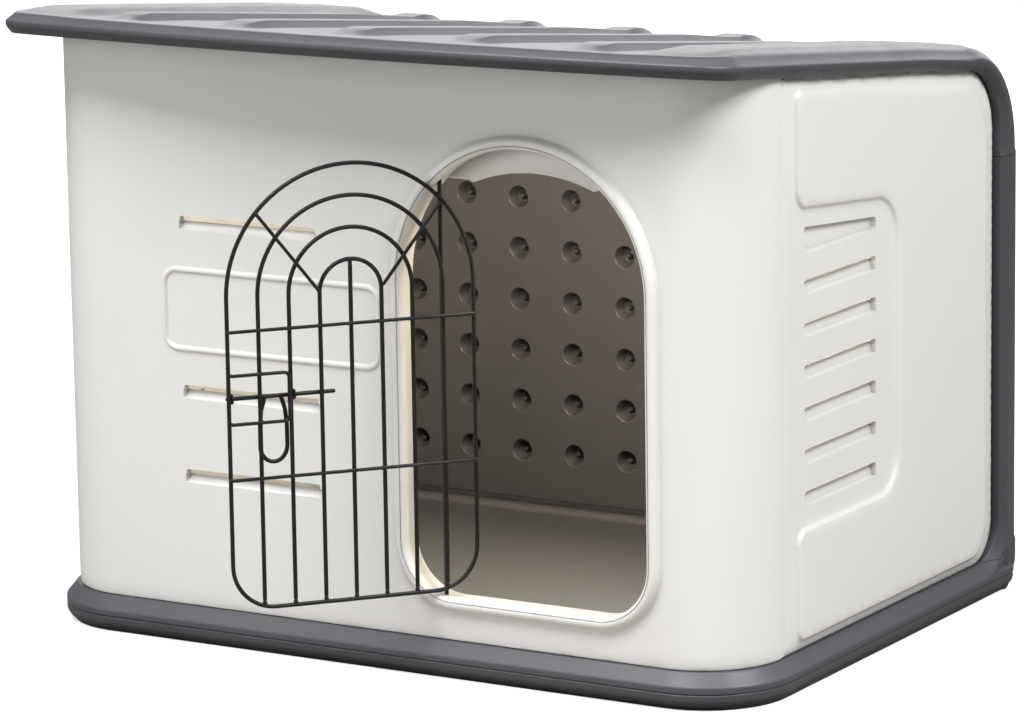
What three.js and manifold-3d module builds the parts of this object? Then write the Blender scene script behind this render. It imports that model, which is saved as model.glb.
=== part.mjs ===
// Small livestock hutch: grey floor tray, white panels, grey rear panel and roof, arched doorway
// with a wire gate on a hinge rod and a sliding wire latch. Millimetres, +Z up, front faces -Y.
import * as THREE from 'three';
import { mergeVertices } from 'three/addons/utils/BufferGeometryUtils.js';
import Module from 'manifold-3d';

const wasm = await Module();
wasm.setup();

// ---------- driving dimensions ----------
const FRONT_Y = -229;            // outer plane of the front wall
const HALF_W = 431;              // wall half width
const LIP = 12;                  // how far tray and roof stand out at the sides
const TRAY_H = 40;               // ground to the foot of the walls
const FLOOR_Z = 30;              // top of the floor
const WALL_T = 8;                // wall thickness
const CORNER_R = 90;             // front wall corner radius
const RETURN = 95;               // depth of the front panel's side returns
const DEPTH = 636;               // front wall plane to rear face
const REAR_T = 44;               // thickness of the rear panel
const ROOF_Z0 = 651.8;           // rim underside at the front wall plane
const ROOF_SLOPE = 0.1077;       // fall per unit depth
const ROOF_OVERHANG = 102;       // visor, at the middle
const ROOF_BOW = 50;             // how far the visor draws back at its ends
const SURROUND = 14.6;            // width of the doorway's moulded ring
const GAP = 0.4;                 // gap between parts that touch
const DOOR_X = 180.6;            // middle of the doorway
const DOOR_R = 144.5;            // doorway half width and arch radius
const DOOR_ZC = 421;             // height of the arch centre
const SILL_Z = 86;               // top of the sill
const SILL_R = 58;               // bottom corner radius of the doorway
const JAMB = 22;                 // jamb depth behind the front plane
const BEAD = 8;                  // how far the door surround stands out
const HINGE_X = 80.5;            // hinge rod axis
const HINGE_Y = FRONT_Y + 4;
const GATE_OPEN = 130.14;        // degrees between closed and the resting position
const PITCH = 33.15;             // spacing of the gate's upright wires
const WIRE_R = 2;
const LAYER = 4.3;               // spacing between wire layers
const GATE_FOOT = 93.6;          // height of the gate's bottom wire
const BAR_HIGH = 385.7;
const BAR_LOW = 230.9;
const BOLT_Z = 314.8;

const REAR_Y = FRONT_Y + DEPTH;
const INNER_REAR_Y = REAR_Y - REAR_T;

// ---------- materials ----------
function mat(color, roughness, metalness) {
  return new THREE.MeshStandardMaterial({ color, roughness, metalness });
}
const white = () => mat(0xe4e3df, 0.55, 0);
const grey = () => mat(0x6c6a72, 0.6, 0);
const black = () => mat(0x151515, 0.35, 0);
const steel = () => mat(0xa8a8a8, 0.35, 1);

// ---------- solid helpers ----------
function solid(geometry) {
  const g = geometry.clone();
  g.deleteAttribute('normal');
  g.deleteAttribute('uv');
  const m = mergeVertices(g, 1e-4);
  return new wasm.Manifold(new wasm.Mesh({
    numProp: 3,
    vertProperties: new Float32Array(m.attributes.position.array),
    triVerts: new Uint32Array(m.index.array),
  }));
}

function toGeometry(manifold) {
  const m = manifold.getMesh();
  const g = new THREE.BufferGeometry();
  g.setAttribute('position', new THREE.BufferAttribute(new Float32Array(m.vertProperties), 3));
  g.setIndex(new THREE.BufferAttribute(new Uint32Array(m.triVerts), 1));
  const flat = g.toNonIndexed();
  flat.computeVertexNormals();
  return flat;
}

// Closed skin through rings of equal length; flatten maps a point to 2-D for the end caps.
function loft(given, flatten) {
  const ccw = THREE.ShapeUtils.area(given[0].map(flatten)) > 0;
  const rings = ccw ? given : given.map((ring) => [...ring].reverse());
  const n = rings[0].length;
  const pos = [];
  const idx = [];
  rings.forEach((ring) => ring.forEach((p) => pos.push(p.x, p.y, p.z)));
  for (let r = 0; r + 1 < rings.length; r += 1) {
    for (let i = 0; i < n; i += 1) {
      const j = (i + 1) % n;
      const a = r * n + i;
      const b = r * n + j;
      idx.push(a, b, b + n, a, b + n, a + n);
    }
  }
  const cap = (ring, base, flip) => {
    const tris = THREE.ShapeUtils.triangulateShape(ring.map(flatten), []);
    tris.forEach(([a, b, c]) => (flip ? idx.push(base + c, base + b, base + a) : idx.push(base + a, base + b, base + c)));
  };
  cap(rings[0], 0, true);
  cap(rings[rings.length - 1], (rings.length - 1) * n, false);
  const g = new THREE.BufferGeometry();
  g.setAttribute('position', new THREE.Float32BufferAttribute(pos, 3));
  g.setIndex(idx);
  return solid(g);
}

// Prism of an outline in plan, standing from z0 to z1.
function prismZ(points, z0, z1) {
  const ring = (z) => points.map((p) => new THREE.Vector3(p.x, p.y, z));
  return loft([ring(z0), ring(z1)], (p) => new THREE.Vector2(p.x, p.y));
}

// Prism of an outline given as (y, z), running from x0 to x1.
function prismX(points, x0, x1) {
  const ring = (x) => points.map((p) => new THREE.Vector3(x, p.x, p.y));
  return loft([ring(x0), ring(x1)], (p) => new THREE.Vector2(p.y, p.z));
}

// Prism of an outline given as (x, z), running from y0 to y1.
function prismY(points, y0, y1) {
  const ring = (y) => points.map((p) => new THREE.Vector3(p.x, y, p.y));
  return loft([ring(y1), ring(y0)], (p) => new THREE.Vector2(p.x, p.z));
}

function box(x0, x1, y0, y1, z0, z1) {
  const g = new THREE.BoxGeometry(x1 - x0, y1 - y0, z1 - z0);
  g.translate((x0 + x1) / 2, (y0 + y1) / 2, (z0 + z1) / 2);
  return solid(g);
}

function rod(from, to, r, segments = 20) {
  const axis = to.clone().sub(from);
  const g = new THREE.CylinderGeometry(r, r, axis.length(), segments);
  g.applyQuaternion(new THREE.Quaternion().setFromUnitVectors(new THREE.Vector3(0, 1, 0), axis.clone().normalize()));
  g.translate((from.x + to.x) / 2, (from.y + to.y) / 2, (from.z + to.z) / 2);
  return solid(g);
}

// Counter-clockwise polygon from corners [x, y, radius].
function outline(corners, steps = 6) {
  const out = [];
  const n = corners.length;
  corners.forEach(([x, y, r], i) => {
    const p = new THREE.Vector2(x, y);
    if (!r) {
      out.push(p);
      return;
    }
    const a = new THREE.Vector2(corners[(i + n - 1) % n][0], corners[(i + n - 1) % n][1]).sub(p).normalize();
    const b = new THREE.Vector2(corners[(i + 1) % n][0], corners[(i + 1) % n][1]).sub(p).normalize();
    const half = Math.acos(THREE.MathUtils.clamp(a.dot(b), -1, 1)) / 2;
    const centre = a.clone().add(b).normalize().multiplyScalar(r / Math.sin(half)).add(p);
    const start = p.clone().addScaledVector(a, r / Math.tan(half)).sub(centre);
    const sweep = Math.PI - 2 * half;
    for (let k = 0; k <= steps; k += 1) {
      out.push(start.clone().rotateAround(new THREE.Vector2(0, 0), (sweep * k) / steps).add(centre));
    }
  });
  return out;
}

// Moves every point of a counter-clockwise polygon inward along its normal.
function inset(points, d) {
  const n = points.length;
  return points.map((p, i) => {
    const a = points[(i + n - 1) % n];
    const b = points[(i + 1) % n];
    const e1 = p.clone().sub(a).normalize();
    const e2 = b.clone().sub(p).normalize();
    const m = new THREE.Vector2(-(e1.y + e2.y), e1.x + e2.x).normalize();
    const cos = Math.max(0.4, m.dot(new THREE.Vector2(-e1.y, e1.x)));
    return p.clone().addScaledVector(m, d / cos);
  });
}

function roofUnder(y) {
  return ROOF_Z0 - ROOF_SLOPE * (y - FRONT_Y);
}

// Everything below the roof's sloped underside, less a gap.
function belowRoof(drop = 0.6) {
  const y0 = FRONT_Y - 160;
  const y1 = REAR_Y + 60;
  return prismX([
    new THREE.Vector2(y0, -10), new THREE.Vector2(y1, -10),
    new THREE.Vector2(y1, roofUnder(y1) - drop), new THREE.Vector2(y0, roofUnder(y0) - drop),
  ], -600, 600);
}

const parts = [];
function add(group, name, geometry, material) {
  const mesh = new THREE.Mesh(geometry, material);
  mesh.name = name;
  group.add(mesh);
  parts.push(mesh);
  return mesh;
}

const group = new THREE.Group();
group.name = 'hutch';
const shell = new THREE.Group();
shell.name = 'shell';
const gate = new THREE.Group();
gate.name = 'gate';
const latch = new THREE.Group();
latch.name = 'latch';
group.add(shell, gate);
gate.add(latch);

// ---------- floor tray ----------
const SIDE = HALF_W + LIP;
const trayPlan = outline([
  [-SIDE - 2, FRONT_Y - 14, CORNER_R + 10], [SIDE + 2, FRONT_Y - 14, CORNER_R + 10],
  [SIDE + 2, REAR_Y, 24], [-SIDE - 2, REAR_Y, 24],
], 9);
function trayRing(d, z) {
  return inset(trayPlan, d).map((p) => new THREE.Vector3(p.x, p.y, z));
}
const trayBody = loft([
  trayRing(10, 0), trayRing(2, 7), trayRing(0, 10), trayRing(0, 17), trayRing(1, 18), trayRing(0, 19),
  trayRing(0, 26), trayRing(4, 29), trayRing(12.5, TRAY_H - GAP),
], (p) => new THREE.Vector2(p.x, p.y));
const rearLip = prismX(outline([
  [REAR_Y - REAR_T, 2, 0], [REAR_Y, 2, 0], [REAR_Y, 62, 0], [REAR_Y - REAR_T + 18, 44, 0], [REAR_Y - REAR_T, 44, 0],
]), -SIDE, SIDE);
const traySide = prismX(outline([
  [FRONT_Y - 40, -1, 0], [REAR_Y - 50, -1, 0], [REAR_Y, -1, 50], [REAR_Y, 90, 0], [FRONT_Y - 40, 90, 0],
], 8), -600, 600);
const floorWell = prismZ(outline([
  [-HALF_W + 26, FRONT_Y + 34, 60], [HALF_W - 26, FRONT_Y + 34, 60],
  [HALF_W - 26, INNER_REAR_Y - 6, 30], [-HALF_W + 26, INNER_REAR_Y - 6, 30],
], 6), FLOOR_Z, 60);
const underWell = (x0, x1, y0, y1) => prismZ(outline([[x0, y0, 12], [x1, y0, 12], [x1, y1, 12], [x0, y1, 12]], 3), -1, 22);
const screwSpots = [
  [-320, FRONT_Y + 4], [-60, FRONT_Y + 4], [330, FRONT_Y + 4],
  [-HALF_W + 4, -20], [-HALF_W + 4, 260], [HALF_W - 4, -20], [HALF_W - 4, 260],
];
let tray = trayBody.add(rearLip).intersect(traySide).subtract(floorWell);
for (const [x0, x1] of [[-400, -142], [-130, 130], [142, 400]]) {
  for (const [y0, y1] of [[-200, 62], [74, 340]]) {
    tray = tray.subtract(underWell(x0, x1, y0, y1));
  }
}
for (const [x, y] of screwSpots) {
  tray = tray.subtract(rod(new THREE.Vector3(x, y, -1), new THREE.Vector3(x, y, 60), 2.8, 12));
  tray = tray.subtract(rod(new THREE.Vector3(x, y, -1), new THREE.Vector3(x, y, 24), 5.4, 16));
}
add(shell, 'base_tray', toGeometry(tray), grey());

// ---------- front panel ----------
function doorOutline(grow, steps = 22) {
  const r = DOOR_R + grow;
  const pts = outline([
    [DOOR_X - r, SILL_Z - grow, SILL_R + grow * 0.6], [DOOR_X + r, SILL_Z - grow, SILL_R + grow * 0.6],
    [DOOR_X + r, DOOR_ZC, 0], [DOOR_X - r, DOOR_ZC, 0],
  ], 6).slice(0, -1);
  for (let k = 1; k <= steps; k += 1) {
    const t = (Math.PI * k) / steps;
    pts.push(new THREE.Vector2(DOOR_X + r * Math.cos(t), DOOR_ZC + r * Math.sin(t)));
  }
  return pts;
}
function doorRing(grow, y) {
  return doorOutline(grow).map((p) => new THREE.Vector3(p.x, y, p.y));
}
const flatXZ = (p) => new THREE.Vector2(p.x, p.z);
const wallPlan = (d) => outline([
  [-HALF_W + d, FRONT_Y + d, CORNER_R - d], [HALF_W - d, FRONT_Y + d, CORNER_R - d],
  [HALF_W - d, FRONT_Y + RETURN - GAP / 2 + (d ? 5 : 0), 0], [-HALF_W + d, FRONT_Y + RETURN - GAP / 2 + (d ? 5 : 0), 0],
], 9);
let front = prismZ(wallPlan(0), TRAY_H, 720).subtract(prismZ(wallPlan(WALL_T), TRAY_H - 5, 730));
front = front.intersect(belowRoof()).subtract(prismY(doorOutline(SURROUND + GAP), FRONT_Y - 5, FRONT_Y + 15));
// The doorway's rounded bead and jamb are one moulded ring set into the wall.
let surround = prismY(doorOutline(SURROUND), FRONT_Y, FRONT_Y + JAMB);
surround = surround.add(loft([
  doorRing(14.5, FRONT_Y + 4), doorRing(13.8, FRONT_Y - 2), doorRing(10, FRONT_Y - BEAD + 2), doorRing(6, FRONT_Y - BEAD),
], flatXZ));
surround = surround.subtract(loft([
  doorRing(4, FRONT_Y - BEAD - 1), doorRing(3, FRONT_Y - BEAD), doorRing(0, FRONT_Y - BEAD + 4), doorRing(0, FRONT_Y + JAMB + 5),
].reverse(), flatXZ));
for (let k = 0; k < 4; k += 1) {
  const x = 104 + 49 * k;
  surround = surround.add(box(x - 4, x + 4, FRONT_Y + JAMB - 5, FRONT_Y + JAMB, SILL_Z - 4, SILL_Z + 3));
}

// Downward louvre cut in a wall whose outer face is at depth 0: profile in (depth, height).
function louvreProfile(top, gap, scoop, depth) {
  return [[-1, top], [depth, top], [depth, top - gap], [depth - 2, top - gap], [0, top - gap - scoop], [-1, top - gap - scoop]];
}
const frontLouvre = (top) => prismX(
  louvreProfile(top, 6, 8, WALL_T + 1).map(([d, z]) => new THREE.Vector2(FRONT_Y + d, z)), -242, -71.6);
for (const top of [465.5, 282.3, 190]) {
  front = front.subtract(frontLouvre(top));
}
// raised outline of the blank name field
const nameField = outline([[-264, 321.8, 16], [6, 321.8, 16], [6, 407.5, 16], [-264, 407.5, 16]], 5);
front = front.add(prismY(inset(nameField, -3), FRONT_Y - 2, FRONT_Y + 1).subtract(
  prismY(inset(nameField, 3), FRONT_Y - 4, FRONT_Y + 4)));
const strikeX = DOOR_X + DOOR_R;
const strike = rod(
  new THREE.Vector3(strikeX - 3, HINGE_Y, BOLT_Z), new THREE.Vector3(strikeX + 30, HINGE_Y, BOLT_Z), 3.2, 20);
front = front.subtract(strike);
surround = surround.subtract(strike).subtract(rod(
  new THREE.Vector3(HINGE_X, HINGE_Y, SILL_Z - 12), new THREE.Vector3(HINGE_X, HINGE_Y, 545), 2.5, 24));
for (const [x, y] of screwSpots.slice(0, 3)) {
  front = front.subtract(rod(new THREE.Vector3(x, y, 30), new THREE.Vector3(x, y, 60), 2.8, 12));
}
add(shell, 'front_panel', toGeometry(front), white());
add(shell, 'door_surround', toGeometry(surround), white());

// ---------- side panels ----------
const sideStart = FRONT_Y + RETURN + GAP / 2;
const sideEnd = INNER_REAR_Y - GAP;
const topAt = (y) => roofUnder(y) - 0.6;
const bendY = REAR_Y - 100;
const bendCentre = new THREE.Vector2(INNER_REAR_Y - 73.6, roofUnder(bendY) - 74.5);
const sideOutline = outline([
  [sideStart, TRAY_H, 0], [sideEnd, TRAY_H, 45], [sideEnd, 300, 0], [sideStart, topAt(sideStart), 0],
], 8).slice(0, -2);
for (let k = 0; k <= 6; k += 1) {
  const t = (Math.PI / 2) * (1 - k / 6);
  sideOutline.push(new THREE.Vector2(bendCentre.x + 73.2 * Math.sin(t), bendCentre.y + 73.2 * Math.cos(t)));
}
sideOutline.push(new THREE.Vector2(bendY - 30, topAt(bendY - 30)), new THREE.Vector2(sideStart, topAt(sideStart)));
const reliefOutline = outline([
  [FRONT_Y + 122, 50.4, 12], [FRONT_Y + 570, 50.4, 40], [FRONT_Y + 570, topAt(FRONT_Y + 570) - 20, 72],
  [FRONT_Y + 122, topAt(FRONT_Y + 122) - 12, 12],
], 6);
const fieldOutline = outline([
  [FRONT_Y + 100, 167, 0], [FRONT_Y + 351, 167, 42], [FRONT_Y + 351, 483, 50], [FRONT_Y + 100, 507, 0],
], 6);
const louvreTops = [426.9, 382.6, 338.3, 294, 249.7, 205.4];
function sidePanel(sign) {
  const at = (x) => sign * x;
  const span = (pts, a, b) => prismX(pts, Math.min(at(a), at(b)), Math.max(at(a), at(b)));
  let body = span(sideOutline, HALF_W, HALF_W - WALL_T);
  body = body.add(span(reliefOutline, HALF_W - 1, HALF_W + 3).subtract(span(fieldOutline, HALF_W, HALF_W + 5)));
  const cut = (z0, z1, drop) => {
    const profile = [[-1, z1], [WALL_T + 1, z1], [WALL_T + 1, z0], [WALL_T - 2, z0], [WALL_T - 2, z0 - drop + 2],
      [0, z0 - drop], [-1, z0 - drop]];
    const ring = (y, dz) => profile.map(([d, z]) => new THREE.Vector3(at(HALF_W - d), y, z + (z > z0 ? dz : 0)));
    const y0 = FRONT_Y + 143;
    const y1 = FRONT_Y + 302.5;
    const rings = [ring(y0, 0), ring(y1, 0)];
    return loft(sign > 0 ? rings : rings.reverse(), (p) => new THREE.Vector2(-at(1) * p.x, p.z));
  };
  // blind pocket above the louvres, its top edge falling with the roof
  const wedge = (z0, z1, fall) => span(outline([
    [FRONT_Y + 143, z0, 2], [FRONT_Y + 302.5, z0, 2], [FRONT_Y + 302.5, z1 - fall, 2], [FRONT_Y + 143, z1, 2],
  ], 3), HALF_W - 6, HALF_W + 5);
  for (const top of louvreTops) {
    body = body.subtract(cut(top - 5, top, 11));
  }
  body = body.subtract(wedge(456, 480.5, 14));
  for (const [x, y] of screwSpots.slice(3)) {
    body = body.subtract(rod(new THREE.Vector3(x, y, 30), new THREE.Vector3(x, y, 60), 2.8, 12));
  }
  return body;
}
add(shell, 'right_side_panel', toGeometry(sidePanel(1)), white());
add(shell, 'left_side_panel', toGeometry(sidePanel(-1)), white());

// ---------- rear panel ----------
const SPLIT_Z = 490;
const SCREW_X = 425;
const rearOutline = (d) => outline([
  [-SIDE + d, INNER_REAR_Y, 0], [SIDE - d, INNER_REAR_Y, 0], [SIDE - d, REAR_Y - d, 18], [-SIDE + d, REAR_Y - d, 18],
], 4);
let rear = prismZ(rearOutline(0), 40, SPLIT_Z - GAP);
rear = rear.subtract(prismX([
  new THREE.Vector2(INNER_REAR_Y - 5, 30), new THREE.Vector2(REAR_Y + 5, 30), new THREE.Vector2(REAR_Y + 5, 67.5),
  new THREE.Vector2(REAR_Y - REAR_T + 18, 44.5), new THREE.Vector2(INNER_REAR_Y - 5, 44.5),
], -600, 600));
rear = rear.subtract(prismZ(outline([
  [-SIDE + 12, INNER_REAR_Y + 14, 0], [SIDE - 12, INNER_REAR_Y + 14, 0], [SIDE - 12, REAR_Y - 8, 8], [-SIDE + 12, REAR_Y - 8, 8],
], 3), 30, SPLIT_Z - 12));
for (let c = 0; c < 12; c += 1) {
  for (let r = 0; r < 7; r += 1) {
    const cone = new THREE.CylinderGeometry(12.5, 7, 9, 12);
    cone.rotateX(-Math.PI / 2);
    cone.translate(-385 + 70 * c, INNER_REAR_Y + 3.5, 100.5 + 60 * r);
    rear = rear.subtract(solid(cone));
  }
}
const rearScrewSpots = [];
for (const x of [-SIDE + 8, SIDE - 8]) {
  for (const z of [120, 280, 430]) {
    rearScrewSpots.push([x, z]);
  }
}
for (const [x, z] of rearScrewSpots) {
  const s = Math.sign(x);
  const hole = (y, r) => rod(new THREE.Vector3(s * SCREW_X, y, z), new THREE.Vector3(s * SCREW_X, REAR_Y + 5, z), r, 16);
  rear = rear.subtract(hole(REAR_Y - 5, 6)).subtract(hole(INNER_REAR_Y + 2, 2.8));
}
add(shell, 'rear_panel', toGeometry(rear), grey());

// ---------- roof ----------
const bowAt = (x) => FRONT_Y - ROOF_OVERHANG + ROOF_BOW * (x / HALF_W) ** 2;
const turn = Math.atan2(2 * ROOF_BOW * (SIDE - 40), HALF_W * HALF_W);
const cornerX = SIDE - 50 * (1 - Math.sin(turn));
const roofFront = [];
for (let k = 0; k <= 16; k += 1) {
  const x = -cornerX + (2 * cornerX * k) / 16;
  roofFront.push(new THREE.Vector2(x, bowAt(x)));
}
const roofPlan = [...roofFront];
for (let k = 1; k <= 7; k += 1) {
  const t = turn + ((Math.PI / 2 - turn) * k) / 7;
  roofPlan.push(new THREE.Vector2(
    cornerX + 50 * Math.sin(t) - 50 * Math.sin(turn), bowAt(cornerX) + 50 * (Math.cos(turn) - Math.cos(t))));
}
const edgeX = roofPlan[roofPlan.length - 1].x;
roofPlan.push(new THREE.Vector2(edgeX, bendY + 2), new THREE.Vector2(-edgeX, bendY + 2));
const leftCorner = roofPlan.slice(17, 24).reverse().map((p) => new THREE.Vector2(-p.x, p.y));
roofPlan.push(...leftCorner);
const RIM = [[6, 0], [1, 5.5], [0, 7.5], [0, 13], [1.2, 15], [8, 20.5], [16, 22]];
const DECK_H = 22;               // roof thickness at the front
const taper = (y) => 3.2 * Math.max(0, y - FRONT_Y) / (bendY - FRONT_Y);
const dip = (y) => 6.5 * Math.max(0, y - FRONT_Y) / (bendY - FRONT_Y);
function roofRing(d, h) {
  return inset(roofPlan, d).map((p) => {
    const y = Math.min(p.y, bendY);
    return new THREE.Vector3(p.x, y, roofUnder(y) + h - taper(y) * (h / DECK_H));
  });
}
const deck = loft(RIM.map(([d, h]) => roofRing(d, h)), (p) => new THREE.Vector2(p.x, p.y));

// Side view of the rear bend: outer curve inset by d, then the inner curve back.
function bendRing(x, d) {
  const yOut = REAR_Y - d;
  const pts = [];
  pts.push(new THREE.Vector2(bendY - 30, roofUnder(bendY - 30)));
  for (let k = 0; k <= 6; k += 1) {
    const t = (Math.PI / 2) * (k / 6);
    pts.push(new THREE.Vector2(bendCentre.x + 74 * Math.sin(t), bendCentre.y + 74 * Math.cos(t)));
  }
  pts.push(new THREE.Vector2(INNER_REAR_Y + 0.4, SPLIT_Z), new THREE.Vector2(yOut, SPLIT_Z));
  for (let k = 0; k <= 9; k += 1) {
    const t = (Math.PI / 2) * (1 - k / 9);
    pts.push(new THREE.Vector2(295 + (112 - d) * Math.sin(t), 494 + (120 - d) * Math.cos(t)));
  }
  pts.push(new THREE.Vector2(bendY - 30, roofUnder(bendY - 30) + 19 - d));
  return pts.map((p) => new THREE.Vector3(x, p.x, p.y));
}
const bend = loft([
  bendRing(-edgeX, 10), bendRing(-edgeX + 1.5, 6), bendRing(-edgeX + 6, 2), bendRing(-edgeX + 15, 0),
  bendRing(edgeX - 15, 0), bendRing(edgeX - 6, 2), bendRing(edgeX - 1.5, 6), bendRing(edgeX, 10),
], (p) => new THREE.Vector2(p.y, p.z));
const trough = loft([bendY + 4, FRONT_Y].map((y) => {
  const z = roofUnder(y) + DECK_H - dip(y);
  return [
    new THREE.Vector3(-340, y, z), new THREE.Vector3(340, y, z),
    new THREE.Vector3(340, y, z + 30), new THREE.Vector3(-340, y, z + 30),
  ];
}), (p) => new THREE.Vector2(p.x, p.z));
let roof = deck.add(bend).subtract(trough);

// Long low ribs and the raised side borders run front to back.
function rib(x0, x1, yFront, yRear, h, ease) {
  const ring = (y, lift) => {
    const z = roofUnder(y) + DECK_H - 2 - dip(y);
    return [
      new THREE.Vector3(x0, y, z - 6), new THREE.Vector3(x1, y, z - 6),
      new THREE.Vector3(x1, y, z), new THREE.Vector3(x1 - ease, y, z + 2 + lift),
      new THREE.Vector3(x0 + ease, y, z + 2 + lift), new THREE.Vector3(x0, y, z),
    ];
  };
  const rings = [ring(yFront, 0.2), ring(yFront + 34, h), ring(yRear - 34, h), ring(yRear, 0.2)];
  return loft(rings.reverse(), (p) => new THREE.Vector2(p.x, p.z));
}
for (let k = -2; k <= 2; k += 1) {
  roof = roof.add(rib(140 * k - 22, 140 * k + 22, FRONT_Y - 60, bendY - 20, 7, 9));
}
roof = roof.add(rib(-400, -342, FRONT_Y - 34, bendY - 10, 9, 14));
roof = roof.add(rib(342, 400, FRONT_Y - 34, bendY - 10, 9, 14));
const underside = (d, h) => inset(outline([
  [-HALF_W + 14, FRONT_Y + 20, 60], [HALF_W - 14, FRONT_Y + 20, 60],
  [HALF_W - 14, bendY, 10], [-HALF_W + 14, bendY, 10],
], 6), d).map((p) => new THREE.Vector3(p.x, p.y, roofUnder(p.y) + h));
roof = roof.subtract(loft([underside(0, -20), underside(4, 9)], (p) => new THREE.Vector2(p.x, p.y)));
roof = roof.subtract(box(-HALF_W + 18, HALF_W - 18, INNER_REAR_Y - 4, REAR_Y - 12, SPLIT_Z - 1, SPLIT_Z + 40));
add(shell, 'roof', toGeometry(roof), grey());

// ---------- door valance: crescent plate closing the top of the arch ----------
const valancePts = [];
const VAL_R = 188.5;
const valTop = 537;
const VAL_END = 114;               // half width of the crescent along the arch
for (let k = 0; k <= 14; k += 1) {
  const x = -74 + (148 * k) / 14;
  valancePts.push(new THREE.Vector2(DOOR_X + x, valTop - VAL_R + Math.sqrt(VAL_R * VAL_R - x * x)));
}
for (let k = 0; k <= 14; k += 1) {
  const x = VAL_END * (1 - k / 7);
  valancePts.push(new THREE.Vector2(DOOR_X + x, DOOR_ZC + Math.sqrt((DOOR_R + 10) ** 2 - x * x)));
}
const valance = prismY(valancePts, FRONT_Y + JAMB + GAP, FRONT_Y + JAMB + 5);
add(shell, 'door_valance', toGeometry(valance), white());

// ---------- screws ----------
function latheSolid(profile, segments) {
  return solid(new THREE.LatheGeometry(profile.map(([r, y]) => new THREE.Vector2(r, y)), segments));
}
function screwAt(position, direction, length) {
  const s = latheSolid([[0, 0], [4.9, 0], [4.9, 2.4], [2.4, 2.4], [2.4, length - 4], [0, length]], 14);
  const m = new THREE.Matrix4().compose(
    position, new THREE.Quaternion().setFromUnitVectors(new THREE.Vector3(0, 1, 0), direction), new THREE.Vector3(1, 1, 1));
  return s.transform(m.elements);
}
screwSpots.forEach(([x, y], i) => {
  const screw = screwAt(new THREE.Vector3(x, y, 21.2), new THREE.Vector3(0, 0, 1), 36);
  add(shell, `base_screw_${i + 1}`, toGeometry(screw), steel());
});
rearScrewSpots.forEach(([x, z], i) => {
  const at = new THREE.Vector3(Math.sign(x) * SCREW_X, REAR_Y - 2.2, z);
  add(shell, `rear_screw_${i + 1}`, toGeometry(screwAt(at, new THREE.Vector3(0, -1, 0), 34)), steel());
});

// ---------- gate ----------
// Gate coordinates: u from the hinge rod towards the free edge, v through the gate, z up.
const closedToRest = new THREE.Matrix4().makeRotationZ(THREE.MathUtils.degToRad(-GATE_OPEN));
closedToRest.setPosition(HINGE_X, HINGE_Y, 0);
function gatePoint(u, v, z) {
  return new THREE.Vector3(u, v, z).applyMatrix4(closedToRest);
}
const FRAME_V = LAYER;
const BAR_V = 2 * LAYER;
const MID_U = 3 * PITCH;
const ARCH_Z = DOOR_ZC - 2;

// Round wire along points, mitred at each bend.
function wireSolid(points, r = WIRE_R, segments = 8, closed = false) {
  const n = points.length;
  const tangent = (i) => {
    const a = closed ? points[(i + n - 1) % n] : points[Math.max(i - 1, 0)];
    const b = closed ? points[(i + 1) % n] : points[Math.min(i + 1, n - 1)];
    return b.clone().sub(a).normalize();
  };
  const flat = gatePoint(0, 1, 0).sub(gatePoint(0, 0, 0));
  const rings = points.map((p, i) => {
    const t = tangent(i);
    const side = Math.abs(t.dot(flat)) > 0.9 ? new THREE.Vector3(0, 0, 1) : flat;
    const b = new THREE.Vector3().crossVectors(t, side).normalize();
    const c = new THREE.Vector3().crossVectors(b, t).normalize();
    const ring = [];
    for (let k = 0; k < segments; k += 1) {
      const a = (2 * Math.PI * (k + 0.5)) / segments;
      ring.push(p.clone().addScaledVector(b, r * Math.cos(a)).addScaledVector(c, -r * Math.sin(a)));
    }
    return ring;
  });
  const pos = [];
  const idx = [];
  rings.forEach((ring) => ring.forEach((q) => pos.push(q.x, q.y, q.z)));
  const loops = closed ? n : n - 1;
  for (let i = 0; i < loops; i += 1) {
    const j = (i + 1) % n;
    for (let k = 0; k < segments; k += 1) {
      const l = (k + 1) % segments;
      idx.push(i * segments + k, j * segments + l, i * segments + l);
      idx.push(i * segments + k, j * segments + k, j * segments + l);
    }
  }
  if (!closed) {
    for (let k = 1; k + 1 < segments; k += 1) {
      idx.push(0, k, k + 1);
      const e = (n - 1) * segments;
      idx.push(e, e + k + 1, e + k);
    }
  }
  const g = new THREE.BufferGeometry();
  g.setAttribute('position', new THREE.Float32BufferAttribute(pos, 3));
  g.setIndex(idx);
  const m = solid(g);
  return m.volume() < 0 ? solid(flipped(g)) : m;
}
function flipped(g) {
  const a = Array.from(g.index.array);
  for (let i = 0; i < a.length; i += 3) {
    [a[i], a[i + 1]] = [a[i + 1], a[i]];
  }
  g.setIndex(a);
  return g;
}
const straight = (u0, z0, u1, z1, v, r = WIRE_R, segments = 8) =>
  wireSolid([gatePoint(u0, v, z0), gatePoint(u1, v, z1)], r, segments);

// Arch with straight legs: from the left leg's foot, over the top, down to the right leg's foot.
function archPoints(k, footLeft, footRight, steps) {
  const r = k * PITCH;
  const pts = [gatePoint(MID_U + r, FRAME_V, footLeft)];
  for (let i = 0; i <= steps; i += 1) {
    const t = (Math.PI * i) / steps;
    pts.push(gatePoint(MID_U + r * Math.cos(t), FRAME_V, ARCH_Z + r * Math.sin(t)));
  }
  pts.push(gatePoint(MID_U - r, FRAME_V, footRight));
  return pts;
}
const legFoot = GATE_FOOT + 2 * WIRE_R + 0.35;
add(gate, 'hinge_rod', toGeometry(wireSolid(
  [gatePoint(0, 0, SILL_Z - 10), gatePoint(0, 0, 538)], WIRE_R, 16)), black());

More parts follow.
